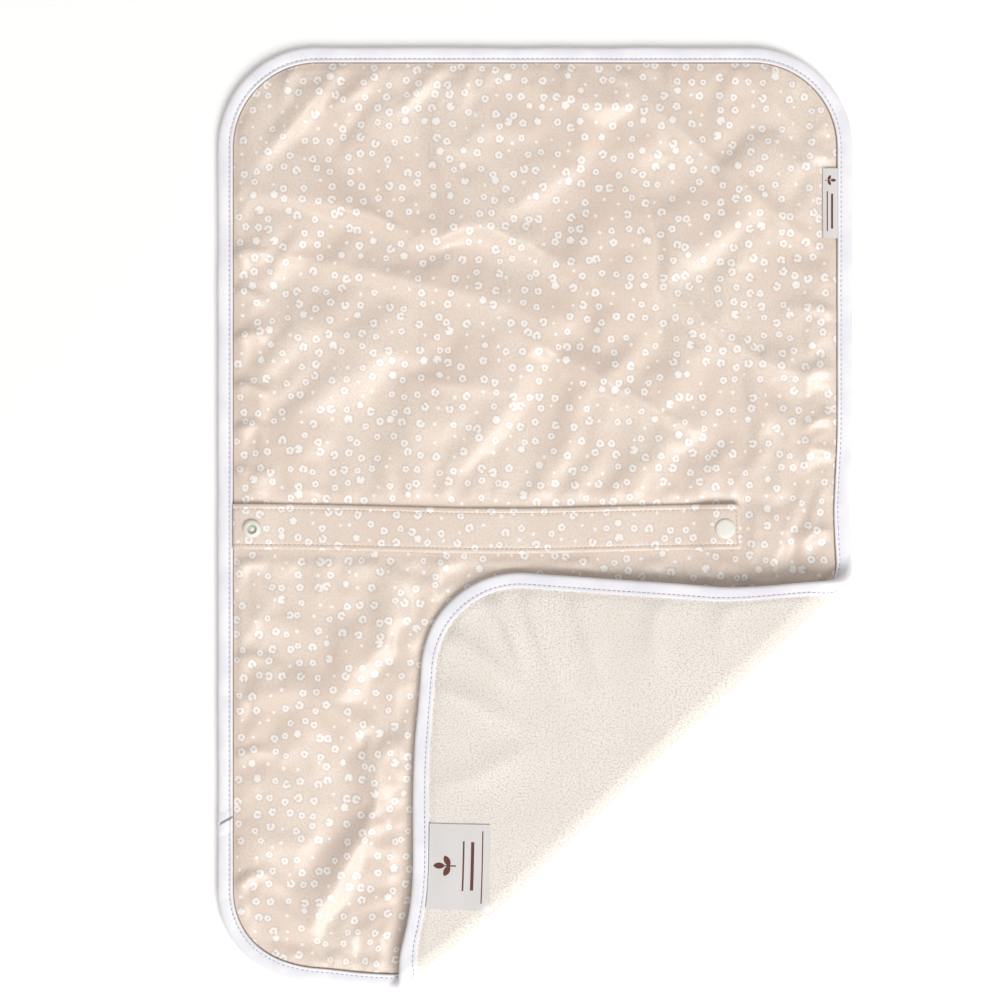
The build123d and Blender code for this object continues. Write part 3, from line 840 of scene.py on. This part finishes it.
cover_cloth = printed_cover()
lining_cloth = pile_lining()
tape_cloth = edge_tape()
tape_thread = sewing_thread("polyester_thread_spun_grey", "#c4c6d2", "#8890a6")
strap_thread = sewing_thread("polyester_thread_spun_beige", "#cfbfb2", "#a88f7e")
satin = label_satin()
ink = label_ink()
cap_resin = snap_resin("acetal_moulded_ivory", "#edebe4", "#e2e0d8")
# a darker copy of the ivory acetal: painted shade for the ring down in the socket's well
well_shade_resin = snap_resin("acetal_moulded_shaded", "#c3c4b8", "#b4b5a8")
wadding_fibre = white_wadding()


# --- Camera, light and table

def studio():
    """A straight look down on the mat, soft light from low on the right, and a pale table."""
    camera_data = bpy.data.cameras.new("camera")
    camera_data.lens = 85
    camera_data.sensor_width = 36
    camera = linked("camera", camera_data)
    camera.location = (-0.0221, 0.0117, 1.4925)
    bpy.context.scene.camera = camera
    for name, place, size, power in (
        ("key_light", (2.4, -3.9, 5.0), 4.2, 424),
        ("fill_light", (-0.9, 1.6, 1.8), 1.8, 6),
        ("top_light", (0.1, 0.1, 2.2), 1.6, 3.5),
    ):
        data = bpy.data.lights.new(name, "AREA")
        data.size = size
        data.energy = power
        data.color = (1.0, 0.99, 0.975)
        lamp = linked(name, data)
        lamp.location = place
        lamp.rotation_euler = (Vector((0, 0, 0)) - Vector(place)).to_track_quat("-Z", "Y").to_euler()
    world = bpy.data.worlds.new("studio")
    bpy.context.scene.world = world
    world.use_nodes = True
    world.node_tree.nodes["Background"].inputs[0].default_value = (1, 0.965, 0.935, 1)
    world.node_tree.nodes["Background"].inputs[1].default_value = 0.38
    bm = bmesh.new()
    bmesh.ops.create_grid(bm, x_segments=2, y_segments=2, size=3)
    mesh = bpy.data.meshes.new("table")
    bm.to_mesh(mesh)
    bm.free()
    table = linked("table", mesh)
    table.location.z = -0.0004
    mesh.materials.append(painted_board())


bpy.context.scene.view_settings.view_transform = "Standard"
studio()


# --- The mat's layers

def nodes_of(layer):
    """The solids that each length of a layer stands for."""
    return [f"{layer}_upper", f"{layer}_fold_band", f"{layer}_middle"], [f"{layer}_roll"], [f"{layer}_corner"]


def whole_layer(name, height, up, material):
    """A cloth layer over the whole mat, its edge inside the tape, as its three lengths."""
    above, below = net_of(cloth_inset, height, up, cloth_step)
    return divided(name, [(*above, (0,)), (*below, (1, 2))], material)


def cover():
    """The printed cover, on top of the mat and inside the turned corner."""
    for piece, number, flat, area in whole_layer("cover", cover_height, True, cover_cloth):
        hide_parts(*nodes_of("cover")[number])


def lining():
    """The pile lining, against the table, and uppermost on the turned corner."""
    for piece, number, flat, area in whole_layer("lining", lining_height, False, lining_cloth):
        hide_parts(*nodes_of("lining")[number])


def wadding():
    """The wadding between them, a closed pad in three lengths."""
    low, high = wadding_z
    tops = net_of(wadding_inset, lambda x, y: np.full(x.shape, high), True, wadding_step)
    lows = net_of(wadding_inset, lambda x, y: np.full(x.shape, low), False, wadding_step)
    nets = []
    for (top_verts, top_faces), (low_verts, low_faces), allowed in zip(tops, lows, ((0,), (1, 2))):
        below = len(top_verts)
        edges = {}
        for face in top_faces:
            edges.update(dict.fromkeys(zip(face, np.roll(face, -1))))
        rim = [(a, b) for a, b in edges if (b, a) not in edges]
        walls = np.array([[b, a, a + below, b + below] for a, b in rim])
        faces = np.vstack([top_faces, low_faces + below, walls])
        nets.append((np.vstack([top_verts, low_verts]), faces, allowed))
    for piece, number, *_ in divided("wadding", nets, wadding_fibre):
        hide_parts(*nodes_of("wadding")[number])


# --- The edge tape

def outline_run(step):
    """Points round the mat's edge, their inward direction and the distance along it, from the tape's join."""
    hold_x, hold_y = half_w - corner_r, half_l - corner_r
    points, inward = [], []
    corners = [(-1, 1, 180), (1, 1, 90), (1, -1, 0), (-1, -1, -90)]
    join = np.array([-half_w, tape_join_y])
    start = join
    for sx, sy, angle in corners:
        centre = np.array([sx * hold_x, sy * hold_y])
        a0 = math.radians(angle)
        first = centre + corner_r * np.array([math.cos(a0), math.sin(a0)])
        run = max(1, int(np.linalg.norm(first - start) / step))
        heading = -np.array([math.cos(a0), math.sin(a0)])
        for t in np.arange(run) / run:
            points.append(start + (first - start) * t)
            inward.append(heading)
        turns = int(corner_r * math.pi / 2 / step)
        for t in np.arange(turns) / turns:
            a = a0 - t * math.pi / 2
            points.append(centre + corner_r * np.array([math.cos(a), math.sin(a)]))
            inward.append(-np.array([math.cos(a), math.sin(a)]))
        a1 = a0 - math.pi / 2
        start = centre + corner_r * np.array([math.cos(a1), math.sin(a1)])
    run = max(1, int(np.linalg.norm(join - start) / step))
    for t in np.arange(run) / run:
        points.append(start + (join - start) * t)
        inward.append(np.array([1.0, 0.0]))
    points, inward = np.array(points), np.array(inward)
    gaps = np.linalg.norm(np.diff(points, axis=0), axis=1)
    return points, inward, np.concatenate([[0], np.cumsum(gaps)])


def tape_profile():
    """The folded tape's section as inset and height: hem, stitch groove and swell, then round the edge."""
    top = [(9.45, 4.5), (9.62, 5.4), (9.3, 5.95), (8.7, 6.08), (8.1, 5.88), (7.6, 5.5), (7.2, 5.42),
           (6.7, 5.55), (5.6, 5.75), (4.2, 5.78), (2.8, 5.7), (1.7, 5.5), (0.9, 5.1), (0.35, 4.5),
           (0.08, 3.7), (0.0, 2.8)]
    low = [(0.08, 1.9), (0.35, 1.1), (0.9, 0.5), (1.7, 0.15), (2.8, 0.03), (4.2, 0.0), (5.6, 0.02),
           (6.7, 0.1), (7.2, 0.2), (7.6, 0.12), (8.1, 0.02), (8.7, 0.0), (9.3, 0.02), (9.62, 0.25),
           (9.45, 1.1)]
    return np.array(top + low)


def tape_lift(s, inset):
    """How the tape rises and falls along its length: it is drawn in at each stitch and never quite even."""
    wave = 0.22 * soft_noise(s / 17, s * 0 + 3, 11) + 0.12 * soft_noise(s / 6, s * 0 + 9, 12)
    return wave * eased((inset - 0.5) / 3) * eased((9.9 - inset) / 2)


def tape_net(profile, points, inward, distance, closed=True):
    """A tape's net round the outline, and each of its points' place along and across it."""
    count, rings = len(profile), len(points)
    inset = np.tile(profile[:, 0], (rings, 1))
    s = np.tile(distance[:, None], (1, count))
    z = np.tile(profile[:, 1], (rings, 1))
    z = z + np.where(z > mid_z, 1.0, 0.0) * tape_lift(s, inset)
    edge = 0.25 * soft_noise(distance / 26, distance * 0, 13)[:, None] * eased((6 - inset) / 6)
    xy = points[:, None, :] + inward[:, None, :] * (inset + edge)[:, :, None]
    verts = np.concatenate([xy, z[:, :, None]], -1).reshape(-1, 3)
    index = np.arange(rings * count).reshape(rings, count)
    here, there = (index, np.roll(index, -1, axis=0)) if closed else (index[:-1], index[1:])
    faces = np.stack([here[:, :-1], here[:, 1:], there[:, 1:], there[:, :-1]], -1).reshape(-1, 4)
    return verts, faces, s.ravel(), inset.ravel()


def along_edge(flat):
    """A flat point's distance along the mat's edge and its inset, for the tape's UV map."""
    points, _, distance = outline_run(tape_step)
    seen = np.empty((len(flat), 2))
    for i in range(0, len(flat), 4000):
        block = flat[i:i + 4000, :2]
        gap = ((block[:, None, :] - points[None, :, :]) ** 2).sum(-1)
        seen[i:i + 4000, 0] = distance[gap.argmin(1)]
    seen[:, 1] = inset_of(flat[:, 0], flat[:, 1]) + np.where(flat[:, 2] > mid_z, 0, 30)
    return seen


def edge_binding():
    """The folded tape all round, in three lengths."""
    stands_for = (
        ["binding_upper", "binding_fold_band", "binding_left", "binding_right"],
        ["binding_roll_foot", "binding_roll_top"],
        ["binding_corner"],
    )
    points, inward, distance = outline_run(tape_step)
    verts, faces, *_ = tape_net(tape_profile(), points, inward, distance)
    for piece, number, flat, _ in divided("edge_tape", [(verts, faces, (0, 1, 2))], tape_cloth):
        seen = along_edge(flat) * MM
        corner = np.empty(len(piece.data.loops), int)
        piece.data.loops.foreach_get("vertex_index", corner)
        piece.data.uv_layers["flat"].data.foreach_set("uv", seen[corner].ravel())
        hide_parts(*stands_for[number])


def tape_lap():
    """The tape's last end, folded under on the slant and laid over its first."""
    points, inward, distance = outline_run(1.0)
    total = distance[-1]
    near = (distance < 10) | (distance > total - 9)
    run = np.where(distance > total / 2, distance - total, distance)[near]
    order = np.argsort(run)
    points, inward, run = points[near][order], inward[near][order], run[order]
    profile = tape_profile()[1:-1].copy()
    out = np.where(profile[:, 1] > mid_z, 1.0, -1.0)
    profile[:, 1] += out * np.where(profile[:, 0] > 0.4, 0.26, 0.15)
    profile[:, 1] = np.maximum(profile[:, 1], 0.0)
    verts, faces, s, inset = tape_net(profile, points, inward, run + 400, closed=False)
    ends = np.where(s > 400, eased((s - 402) / 6), eased((-5.4 - (s - 400)) / 3))
    verts[:, 1] += (inset - 4.7) * 0.55
    verts[:, 2] -= np.where(verts[:, 2] > mid_z, 0.45, -0.2) * ends
    uv = np.stack([s, inset], -1)
    piece = new_piece("edge_tape_lap", placed(verts), faces.tolist(), uv, None, tape_cloth)
    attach(piece, "mat")
    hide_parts("binding_join")


cover()
lining()
wadding()
edge_binding()
tape_lap()


# --- The strap

def strap_drift(x):
    """How far the soft strap bows from a straight line."""
    return 1.6 - 3.0 * np.exp(-((x + 20) / 95) ** 2)


def strap_height(x, y):
    """The strap's middle above the table: it rides over its root cap and its tip stud."""
    over_root = 1.5 * np.exp(-(np.maximum(np.abs(x - root_snap_x) - 5, 0) / 7) ** 2)
    over_tip = 3.4 * np.exp(-(np.maximum(np.abs(x - tip_snap_x) - 5, 0) / 11) ** 2)
    ripple = 0.3 * soft_noise((x + 0.5 * y) / 19, y / 40, 21) + 0.12 * soft_noise(x / 7, y / 11, 22)
    calm = 1 - np.exp(-((x - root_snap_x) / 9) ** 2) - np.exp(-((x - tip_snap_x) / 9) ** 2)
    return strap_z + strap_t / 2 + over_root + over_tip + (ripple + 0.15) * calm * eased((x - strap_x[0]) / 8)


def strap_half(edge):
    """Half the strap's thickness at a distance from its round edge: it is drawn in at the topstitching."""
    edge = np.maximum(edge, 0)
    shell = strap_t / 2 * np.sqrt(1 - (1 - np.minimum(edge / 1.1, 1)) ** 2)
    groove = 0.28 * np.exp(-((edge - topstitch_inset) / 0.6) ** 2)
    puff = 0.22 * np.exp(-((edge - 1.7) / 1.1) ** 2)
    return shell - groove + puff * eased(edge / 1.5)


def strap_lines():
    """The strap's net lines, closer together at its edges and its end."""
    near_edge = np.array([4.2, 3.7, 3.3, 2.9, 2.4, 1.8, 1.2, 0.7, 0.3, 0.1, 0.0])
    inner = np.linspace(0.35, strap_w / 2 - near_edge[0], 8)
    half = np.concatenate([[0.0], inner[1:-1], strap_w / 2 - near_edge])
    across = np.concatenate([-half[::-1], half[1:]])
    run = np.arange(strap_x[0], strap_x[1] - 5, 1.8)
    return np.concatenate([run, strap_end_x - near_edge]), across


def strap_skew(x, v, end):
    """How far each point moves along the strap, as its end is cut a little off the square."""
    return -0.05 * v * eased((x - end + 20) / 20)


def strap_pieces():
    """The strap: two cloths and a stiffener sewn into one closed band."""
    xs, vs = strap_lines()
    x, v = np.meshgrid(xs, vs, indexing="ij")
    end, corner = strap_end_x, strap_corner_r
    qx = np.maximum(x - (end - corner), 0)
    qv = np.maximum(np.abs(v) - (strap_w / 2 - corner), 0)
    reach = np.maximum(np.maximum(qx, qv), 1e-9) / np.maximum(np.hypot(qx, qv), 1e-9)
    in_corner = (qx > 0) & (qv > 0)
    x = np.where(in_corner, end - corner + qx * reach, x)
    v = np.where(in_corner, np.sign(v) * (strap_w / 2 - corner + qv * reach), v)
    edge = np.minimum(strap_w / 2 - np.abs(v), end - x)
    edge = np.where(in_corner, corner - np.hypot(qx * reach, qv * reach), edge)
    half = strap_half(edge)
    y = seam_y + v + strap_drift(x)
    middle = strap_height(x, v)
    skewed = x + strap_skew(x, v, end)
    top = np.stack([skewed, y, middle + half], -1).reshape(-1, 3)
    low = np.stack([skewed, y, middle - half], -1).reshape(-1, 3)
    index, faces = grid_faces(x.shape)
    root = np.stack([index[0, :-1], index[0, 1:], index[0, 1:] + x.size, index[0, :-1] + x.size], -1)
    verts = np.vstack([top, low])
    faces = np.vstack([faces, faces[:, ::-1] + x.size, root])
    flat_uv = np.concatenate([np.stack([x, v], -1).reshape(-1, 2)] * 2) + np.array([700.0, 350.0])
    piece = new_piece("strap_band", verts, faces.tolist(), flat_uv, None, cover_cloth)
    bm = bmesh.new()
    bm.from_mesh(piece.data)
    bmesh.ops.remove_doubles(bm, verts=bm.verts[:], dist=0.00002)
    bmesh.ops.recalc_face_normals(bm, faces=bm.faces[:])
    bm.to_mesh(piece.data)
    bm.free()
    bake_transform(piece)
    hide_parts("strap_face", "strap_stiffener", "strap_back",
                "strap_end_face", "strap_end_stiffener", "strap_end_back")


strap_pieces()


# --- Press studs

def lathe(name, profile, centre, material, segments=56):
    """A round piece turned about a vertical line.

    The profile's points are radius and height in millimetres, from its middle out over the top and back.
    """
    bm = bmesh.new()
    rings = []
    for radius, z in profile:
        ring = []
        for k in range(segments if radius > 1e-6 else 1):
            a = 2 * math.pi * k / segments
            x, y = centre[0] + radius * math.cos(a), centre[1] + radius * math.sin(a)
            ring.append(bm.verts.new((x * MM, y * MM, z * MM)))
        rings.append(ring)
    for inner, outer in zip(rings, rings[1:]):
        for k in range(segments):
            n = (k + 1) % segments
            around = ((inner, k), (outer, k), (outer, n), (inner, n))
            corners = [ring[i % len(ring)] for ring, i in around]
            bm.faces.new(list(dict.fromkeys(corners)))
    bmesh.ops.recalc_face_normals(bm, faces=bm.faces[:])
    mesh = bpy.data.meshes.new(name)
    bm.to_mesh(mesh)
    bm.free()
    mesh.polygons.foreach_set("use_smooth", np.ones(len(mesh.polygons), bool))
    mesh.materials.append(material)
    piece = linked(name, mesh)
    return piece


def seat_of(node):
    """A press stud piece's middle, radius, underside and top, in millimetres."""
    low, high = (np.array(c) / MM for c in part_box(node))
    return ((low[0] + high[0]) / 2, (low[1] + high[1]) / 2), (high[0] - low[0]) / 2, low[2], high[2]


def press_studs():
    """The ringed socket at the strap's root, the smooth cap at its tip, and what each is riveted to."""
    centre, r, floor, top = seat_of("root_snap_socket")
    body = [(0, floor), (r - 0.9, floor), (r - 0.8, floor + 0.45), (r + 0.1, floor + 0.7),
            (r + 0.35, floor + 1.1), (r + 0.1, floor + 1.6), (r - 0.7, floor + 2.1), (r - 1.5, top - 0.15),
            (r - 1.9, top), (r - 2.25, top - 0.15), (r - 2.4, top - 0.5), (2.95, top - 0.75),
            (2.95, floor + 1.15), (2.3, floor + 0.9), (0, floor + 0.9)]
    well = [(0, floor + 0.93), (2.2, floor + 0.93), (2.85, floor + 1.2), (2.93, top - 0.74),
            (2.75, top - 0.9), (2.6, floor + 1.3), (2.1, floor + 1.0), (0, floor + 1.0)]
    rivet = [(0, floor + 0.95), (1.45, floor + 0.98), (1.4, floor + 1.35), (0.9, floor + 1.6),
             (0, floor + 1.68)]
    socket = lathe("root_stud_socket", body, centre, cap_resin)
    # the ring lining the well takes the darker acetal: painted shade in the socket's recess
    liner = lathe("root_stud_ring", well, centre, well_shade_resin)
    nub = lathe("root_stud_rivet", rivet, centre, cap_resin)
    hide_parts("root_snap_socket")
    for piece in (socket, liner, nub):
        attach(piece, "strap")
    for name, node, body_name, up in (
        ("root_stud_cap", "root_snap_cap", "strap", -1),
        ("tip_stud_cap", "tip_snap_cap", "strap_end", 1),
    ):
        centre, r, low, high = seat_of(node)
        face = high if up > 0 else low
        dome = [(0, 0), (r * 0.45, -0.05), (r * 0.75, -0.18), (r * 0.9, -0.42), (r * 0.98, -0.8), (r, -1.1),
                (r * 0.97, -1.35), (r * 0.9, -1.5), (1.1, -1.5), (1.1, -3.2), (0, -3.2)]
        cap = lathe(name, [(a, face + up * b) for a, b in dome], centre, cap_resin)
        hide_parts(node)
        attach(cap, body_name)
    centre, r, low, high = seat_of("tip_snap_stud")
    body = [(0, high), (r - 0.3, high), (r, high - 0.35), (r - 0.2, high - 0.9), (3.3, high - 1.1),
            (2.75, high - 1.3), (2.7, low + 0.9), (2.85, low + 0.4), (2.55, low + 0.05), (1.8, low),
            (1.6, low + 0.5), (1.5, low + 1.6), (0, low + 1.6)]
    stud = lathe("tip_stud_nose", body, centre, cap_resin)
    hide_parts("tip_snap_stud")
    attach(stud, "strap_end")


press_studs()


# --- Labels

def ribbon(name, points_of, size, steps, thickness, material):
    """A thin closed ribbon over a rectangle. points_of turns u, v and a height into places."""
    us = np.linspace(0, size[0], steps[0])
    vs = np.linspace(0, size[1], steps[1])
    u, v = np.meshgrid(us, vs, indexing="ij")
    index, faces = grid_faces(u.shape)
    top = points_of(u.ravel(), v.ravel(), np.full(u.size, thickness))
    low = points_of(u.ravel(), v.ravel(), np.zeros(u.size))
    loop = np.concatenate([index[:-1, 0], index[-1, :-1], index[:0:-1, -1], index[0, :0:-1]])
    walls = np.stack([loop, loop + u.size, np.roll(loop, -1) + u.size, np.roll(loop, -1)], -1)
    faces = np.vstack([faces, faces[:, ::-1] + u.size, walls])
    uv = np.concatenate([np.stack([u, v], -1).reshape(-1, 2)] * 2)
    piece = new_piece(name, np.vstack([top, low]), faces.tolist(), uv, None, material)
    bm = bmesh.new()
    bm.from_mesh(piece.data)
    bmesh.ops.recalc_face_normals(bm, faces=bm.faces[:])
    for edge in bm.edges:
        edge.smooth = edge.calc_face_angle(0) < 0.7
    bm.to_mesh(piece.data)
    bm.free()
    return piece


def care_place(u, v, height):
    """A point of the care label: u along the mat's edge, v in from it. Its free end curls a little."""
    x = care_x + care_w / 2 - u
    y = -half_l + tape_w + 0.3 + v
    curl = 0.8 * eased((v - 22) / 16) * eased(u / care_w)
    curl = curl + 0.3 * soft_noise(u / 16, v / 14, 31) * eased(v / 12)
    under = np.minimum(lining_height(x, y), 0.0)
    root_y = -half_l + tape_w
    slips = [slip_along_fold(care_x + side, root_y) for side in (20, -20)]
    lean = -(slips[0] - slips[1]) / 40 * along[1]
    x, y = x - lean * (y - root_y), y + lean * (x - care_x)
    flat = np.stack([x, y, under - 0.35 - height - np.maximum(curl, 0)], -1)
    return placed(flat, (care_x, root_y))


def motif(name, place, centre, size, height, body):
    """A plain sprig printed on a label: a stem with one leaf at its tip and two below."""
    leaves = ((0.0, 0.0, 90, 0.5), (0.0, -0.22, 152, 0.5), (0.0, -0.22, 28, 0.5), (0.0, -0.5, 90, 0.5))
    for k, (du, dv, angle, length) in enumerate(leaves):
        t = np.linspace(0, 1, 15)
        a = math.radians(angle)
        spine = np.array([du, dv]) + t[:, None] * length * np.array([math.cos(a), math.sin(a)])
        wide = 0.125 * np.sin(np.pi * t) ** 0.7 + 0.012 if k < 3 else np.full(15, 0.028)
        side = np.array([-math.sin(a), math.cos(a)])
        edges = np.stack([spine + side * wide[:, None], spine - side * wide[:, None]], 1) * size
        u, v = centre[0] + edges[..., 0].ravel(), centre[1] - edges[..., 1].ravel()
        faces = [[2 * i, 2 * i + 1, 2 * i + 3, 2 * i + 2] for i in range(14)]
        points = place(u, v, np.full(len(u), height))
        piece = new_piece(f"{name}_leaf_{k}", points, faces, np.stack([u, v], -1), None, ink)
        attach(piece, body)


def bar(name, place, centre, size, height, body):
    """A plain printed bar where a label carries its wording."""
    us = np.linspace(-0.5, 0.5, 9) * size[0] + centre[0]
    vs = np.linspace(-0.5, 0.5, 3) * size[1] + centre[1]
    u, v = np.meshgrid(us, vs, indexing="ij")
    _, faces = grid_faces(u.shape)
    points = place(u.ravel(), v.ravel(), np.full(u.size, height))
    piece = new_piece(name, points, faces.tolist(), np.stack([u, v], -1).reshape(-1, 2), None, ink)
    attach(piece, body)


def care_label():
    """The care label, sewn into the tape on the lining side of the turned corner."""
    piece = ribbon("care_label_satin", care_place, (care_w, care_l), (28, 20), 0.4, satin)
    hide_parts("care_label")
    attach(piece, "care_label")
    motif("care_motif", care_place, (26.0, 10.0), 14.0, care_mark_h, "care_label")
    bar("care_bar_upper", care_place, (26.0, 21.6), (31.0, 1.0), care_mark_h, "care_label")
    bar("care_bar_middle", care_place, (26.0, 27.2), (30.0, 2.0), care_mark_h, "care_label")
    bar("care_bar_lower", care_place, (26.5, 33.4), (45.0, 0.7), care_mark_h, "care_label")


def tag_place(u, w, height):
    """A point of the side tag's loop: u runs down the mat's edge, w round the loop from the tape and back."""
    turn = np.clip((w - tag_reach) / tag_fold_r, 0, math.pi)
    past = np.maximum(w - tag_reach - math.pi * tag_fold_r, 0)
    reach = np.minimum(w, tag_reach) - past
    lift = tag_fold_r + height - 0.1
    swell = 0.45 * np.sin(np.pi * reach / tag_reach) + 0.2 * soft_noise(u / 14, w / 9, 33)
    x = tag_high[0] + 0.3 - reach - lift * np.sin(turn)
    z = tag_low[2] + 0.38 + lift * np.cos(turn) + np.maximum(swell * (turn < 0.1), 0)
    return np.stack([x, tag_high[1] - u, z], -1)


def side_tag():
    """The side tag, a folded loop of ribbon under the tape on the right."""
    around = 2 * tag_reach + math.pi * tag_fold_r
    piece = ribbon("side_tag_loop", tag_place, (tag_l, around), (30, 61), 0.2, satin)
    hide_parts("side_tag")
    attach(piece, "side_tag")
    motif("tag_motif", tag_place, (7.5, 4.6), 7.0, tag_mark_h, "side_tag")
    bar("tag_bar_upper", tag_place, (27.0, 6.6), (25.0, 0.7), tag_mark_h, "side_tag")
    bar("tag_bar_lower", tag_place, (27.0, 3.6), (22.0, 1.3), tag_mark_h, "side_tag")


care_label()
side_tag()


# --- Stitches

def stitch_tree():
    """Geometry Nodes: a row of stitches along a line, each a small rounded dash that leans into the cloth."""
    tree = bpy.data.node_groups.new("stitch_row", "GeometryNodeTree")
    tree.interface.new_socket("Geometry", in_out="INPUT", socket_type="NodeSocketGeometry")
    for name, kind, value in (
        ("Pitch", "Float", 3.0),
        ("Length", "Float", 2.2),
        ("Width", "Float", 0.6),
        ("Wander", "Float", 6.0),
        ("Seed", "Int", 5),
        ("Thread", "Material", None),
    ):
        socket = tree.interface.new_socket(name, in_out="INPUT", socket_type="NodeSocket" + kind)
        if value is not None:
            socket.default_value = value
    tree.interface.new_socket("Geometry", in_out="OUTPUT", socket_type="NodeSocketGeometry")
    given = add(tree, "NodeGroupInput").node.outputs
    curve = add(tree, "GeometryNodeMeshToCurve", given["Geometry"])
    spaced = add(tree, "GeometryNodeResampleCurve", mode="LENGTH", Curve=curve, Length=given["Pitch"])
    ball = add(tree, "GeometryNodeMeshUVSphere", Segments=8, Rings=5, Radius=0.5)
    shape = add(tree, "ShaderNodeCombineXYZ", given["Length"], given["Width"], given["Width"])
    stitch = add(tree, "GeometryNodeTransform", Geometry=ball, Scale=shape)
    heading = add(tree, "GeometryNodeInputTangent")
    facing = add(tree, "FunctionNodeAlignRotationToVector", axis="X", Vector=heading)
    lean = add(tree, "FunctionNodeRandomValue", data_type="FLOAT", in2=-1.0, in3=1.0, Seed=given["Seed"],
               out=1)
    turn = add(tree, "ShaderNodeMath", lean, given["Wander"], operation="MULTIPLY")
    turn = add(tree, "ShaderNodeMath", turn, operation="RADIANS")
    wander = add(tree, "ShaderNodeCombineXYZ", in2=turn)
    facing = add(tree, "FunctionNodeRotateRotation", facing, wander)
    row = add(tree, "GeometryNodeInstanceOnPoints", Points=spaced, Instance=stitch, Rotation=facing)
    solid = add(tree, "GeometryNodeRealizeInstances", row)
    finished = add(tree, "GeometryNodeSetMaterial", Geometry=solid, Material=given["Thread"])
    add(tree, "NodeGroupOutput", finished)
    return tree


stitch_rows = stitch_tree()


def stitches(name, lines, shares, thread, pitch, length, width):
    """Sews along lines of points: the stitches as one plain mesh, and each point's share of the bend."""
    points = np.vstack(lines)
    edges, start = [], 0
    for line in lines:
        edges += [(start + i, start + i + 1) for i in range(len(line) - 1)]
        start += len(line)
    guide = bpy.data.meshes.new(name + "_line")
    guide.from_pydata((points * MM).tolist(), edges, [])
    sewn_share = guide.attributes.new("bend_share", "FLOAT", "POINT")
    sewn_share.data.foreach_set("value", np.concatenate(shares).astype(np.float32))
    row = linked(name, guide)
    modifier = row.modifiers.new("sewing", "NODES")
    modifier.node_group = stitch_rows
    wanted = {"Pitch": pitch * MM, "Length": length * MM, "Width": width * MM, "Wander": 5.0, "Seed": 5,
              "Thread": thread}
    for item in stitch_rows.interface.items_tree:
        if item.in_out == "INPUT" and item.name in wanted:
            modifier[item.identifier] = wanted[item.name]
    graph = bpy.context.evaluated_depsgraph_get()
    sewn = row.evaluated_get(graph)
    mesh = bpy.data.meshes.new_from_object(sewn, preserve_all_data_layers=True, depsgraph=graph)
    bpy.data.objects.remove(row)
    bpy.data.meshes.remove(guide)
    mesh.name = name
    mesh.polygons.foreach_set("use_smooth", np.ones(len(mesh.polygons), bool))
    piece = linked(name, mesh)
    share = np.zeros(len(mesh.vertices), np.float32)
    mesh.attributes["bend_share"].data.foreach_get("value", share)
    return piece, share


def tape_stitching():
    """One row of stitches near the tape's inner edge, showing on both faces."""
    points, inward, distance = outline_run(tape_step)
    points, inward = np.vstack([points, points[:1]]), np.vstack([inward, inward[:1]])
    distance = np.concatenate([distance, [distance[-1] + tape_step]])
    inset = 7.3
    for number in range(3):
        lines, shares = [], []
        for z in (5.42, 0.1):
            flat = np.stack([*(points + inward * inset).T, np.full(len(points), z)], -1)
            if z > mid_z:
                flat[:, 2] += tape_lift(distance, np.full(len(points), inset))
            inside = side_of(flat) == number
            breaks = np.flatnonzero(np.diff(inside.astype(int))) + 1
            for part in np.split(np.arange(len(flat)), breaks):
                if inside[part[0]] and len(part) > 3:
                    lines.append(placed(flat[part]))
                    shares.append(bend_share(flat[part], number))
        name = f"tape_stitches_{lengths[number][0]}"
        piece, share = stitches(name, lines, shares, tape_thread, 3.1, 2.5, 0.62)
        bend(piece)


def strap_stitching():
    """The topstitching round the strap, on both faces."""
    x = np.arange(strap_x[0] + 1, strap_x[1] - 4.0, 1.5)
    far = strap_w / 2 - topstitch_inset
    v = np.linspace(-far, far, 16)
    end = strap_end_x - topstitch_inset
    round_x = np.concatenate([x, np.full(len(v), end), x[::-1]])
    round_v = np.concatenate([np.full(len(x), -far), v, np.full(len(x), far)])
    lines = []
    for face in (1, -1):
        sunk = strap_half(np.full(len(round_x), topstitch_inset)) + 0.02
        z = strap_height(round_x, round_v) + face * sunk
        skewed = round_x + strap_skew(round_x, round_v, end)
        lines.append(np.stack([skewed, seam_y + round_v + strap_drift(round_x), z], -1))
    shares = [np.zeros(len(line)) for line in lines]
    piece, _ = stitches("strap_stitches", lines, shares, strap_thread, 2.9, 2.2, 0.5)
    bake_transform(piece)


tape_stitching()
strap_stitching()
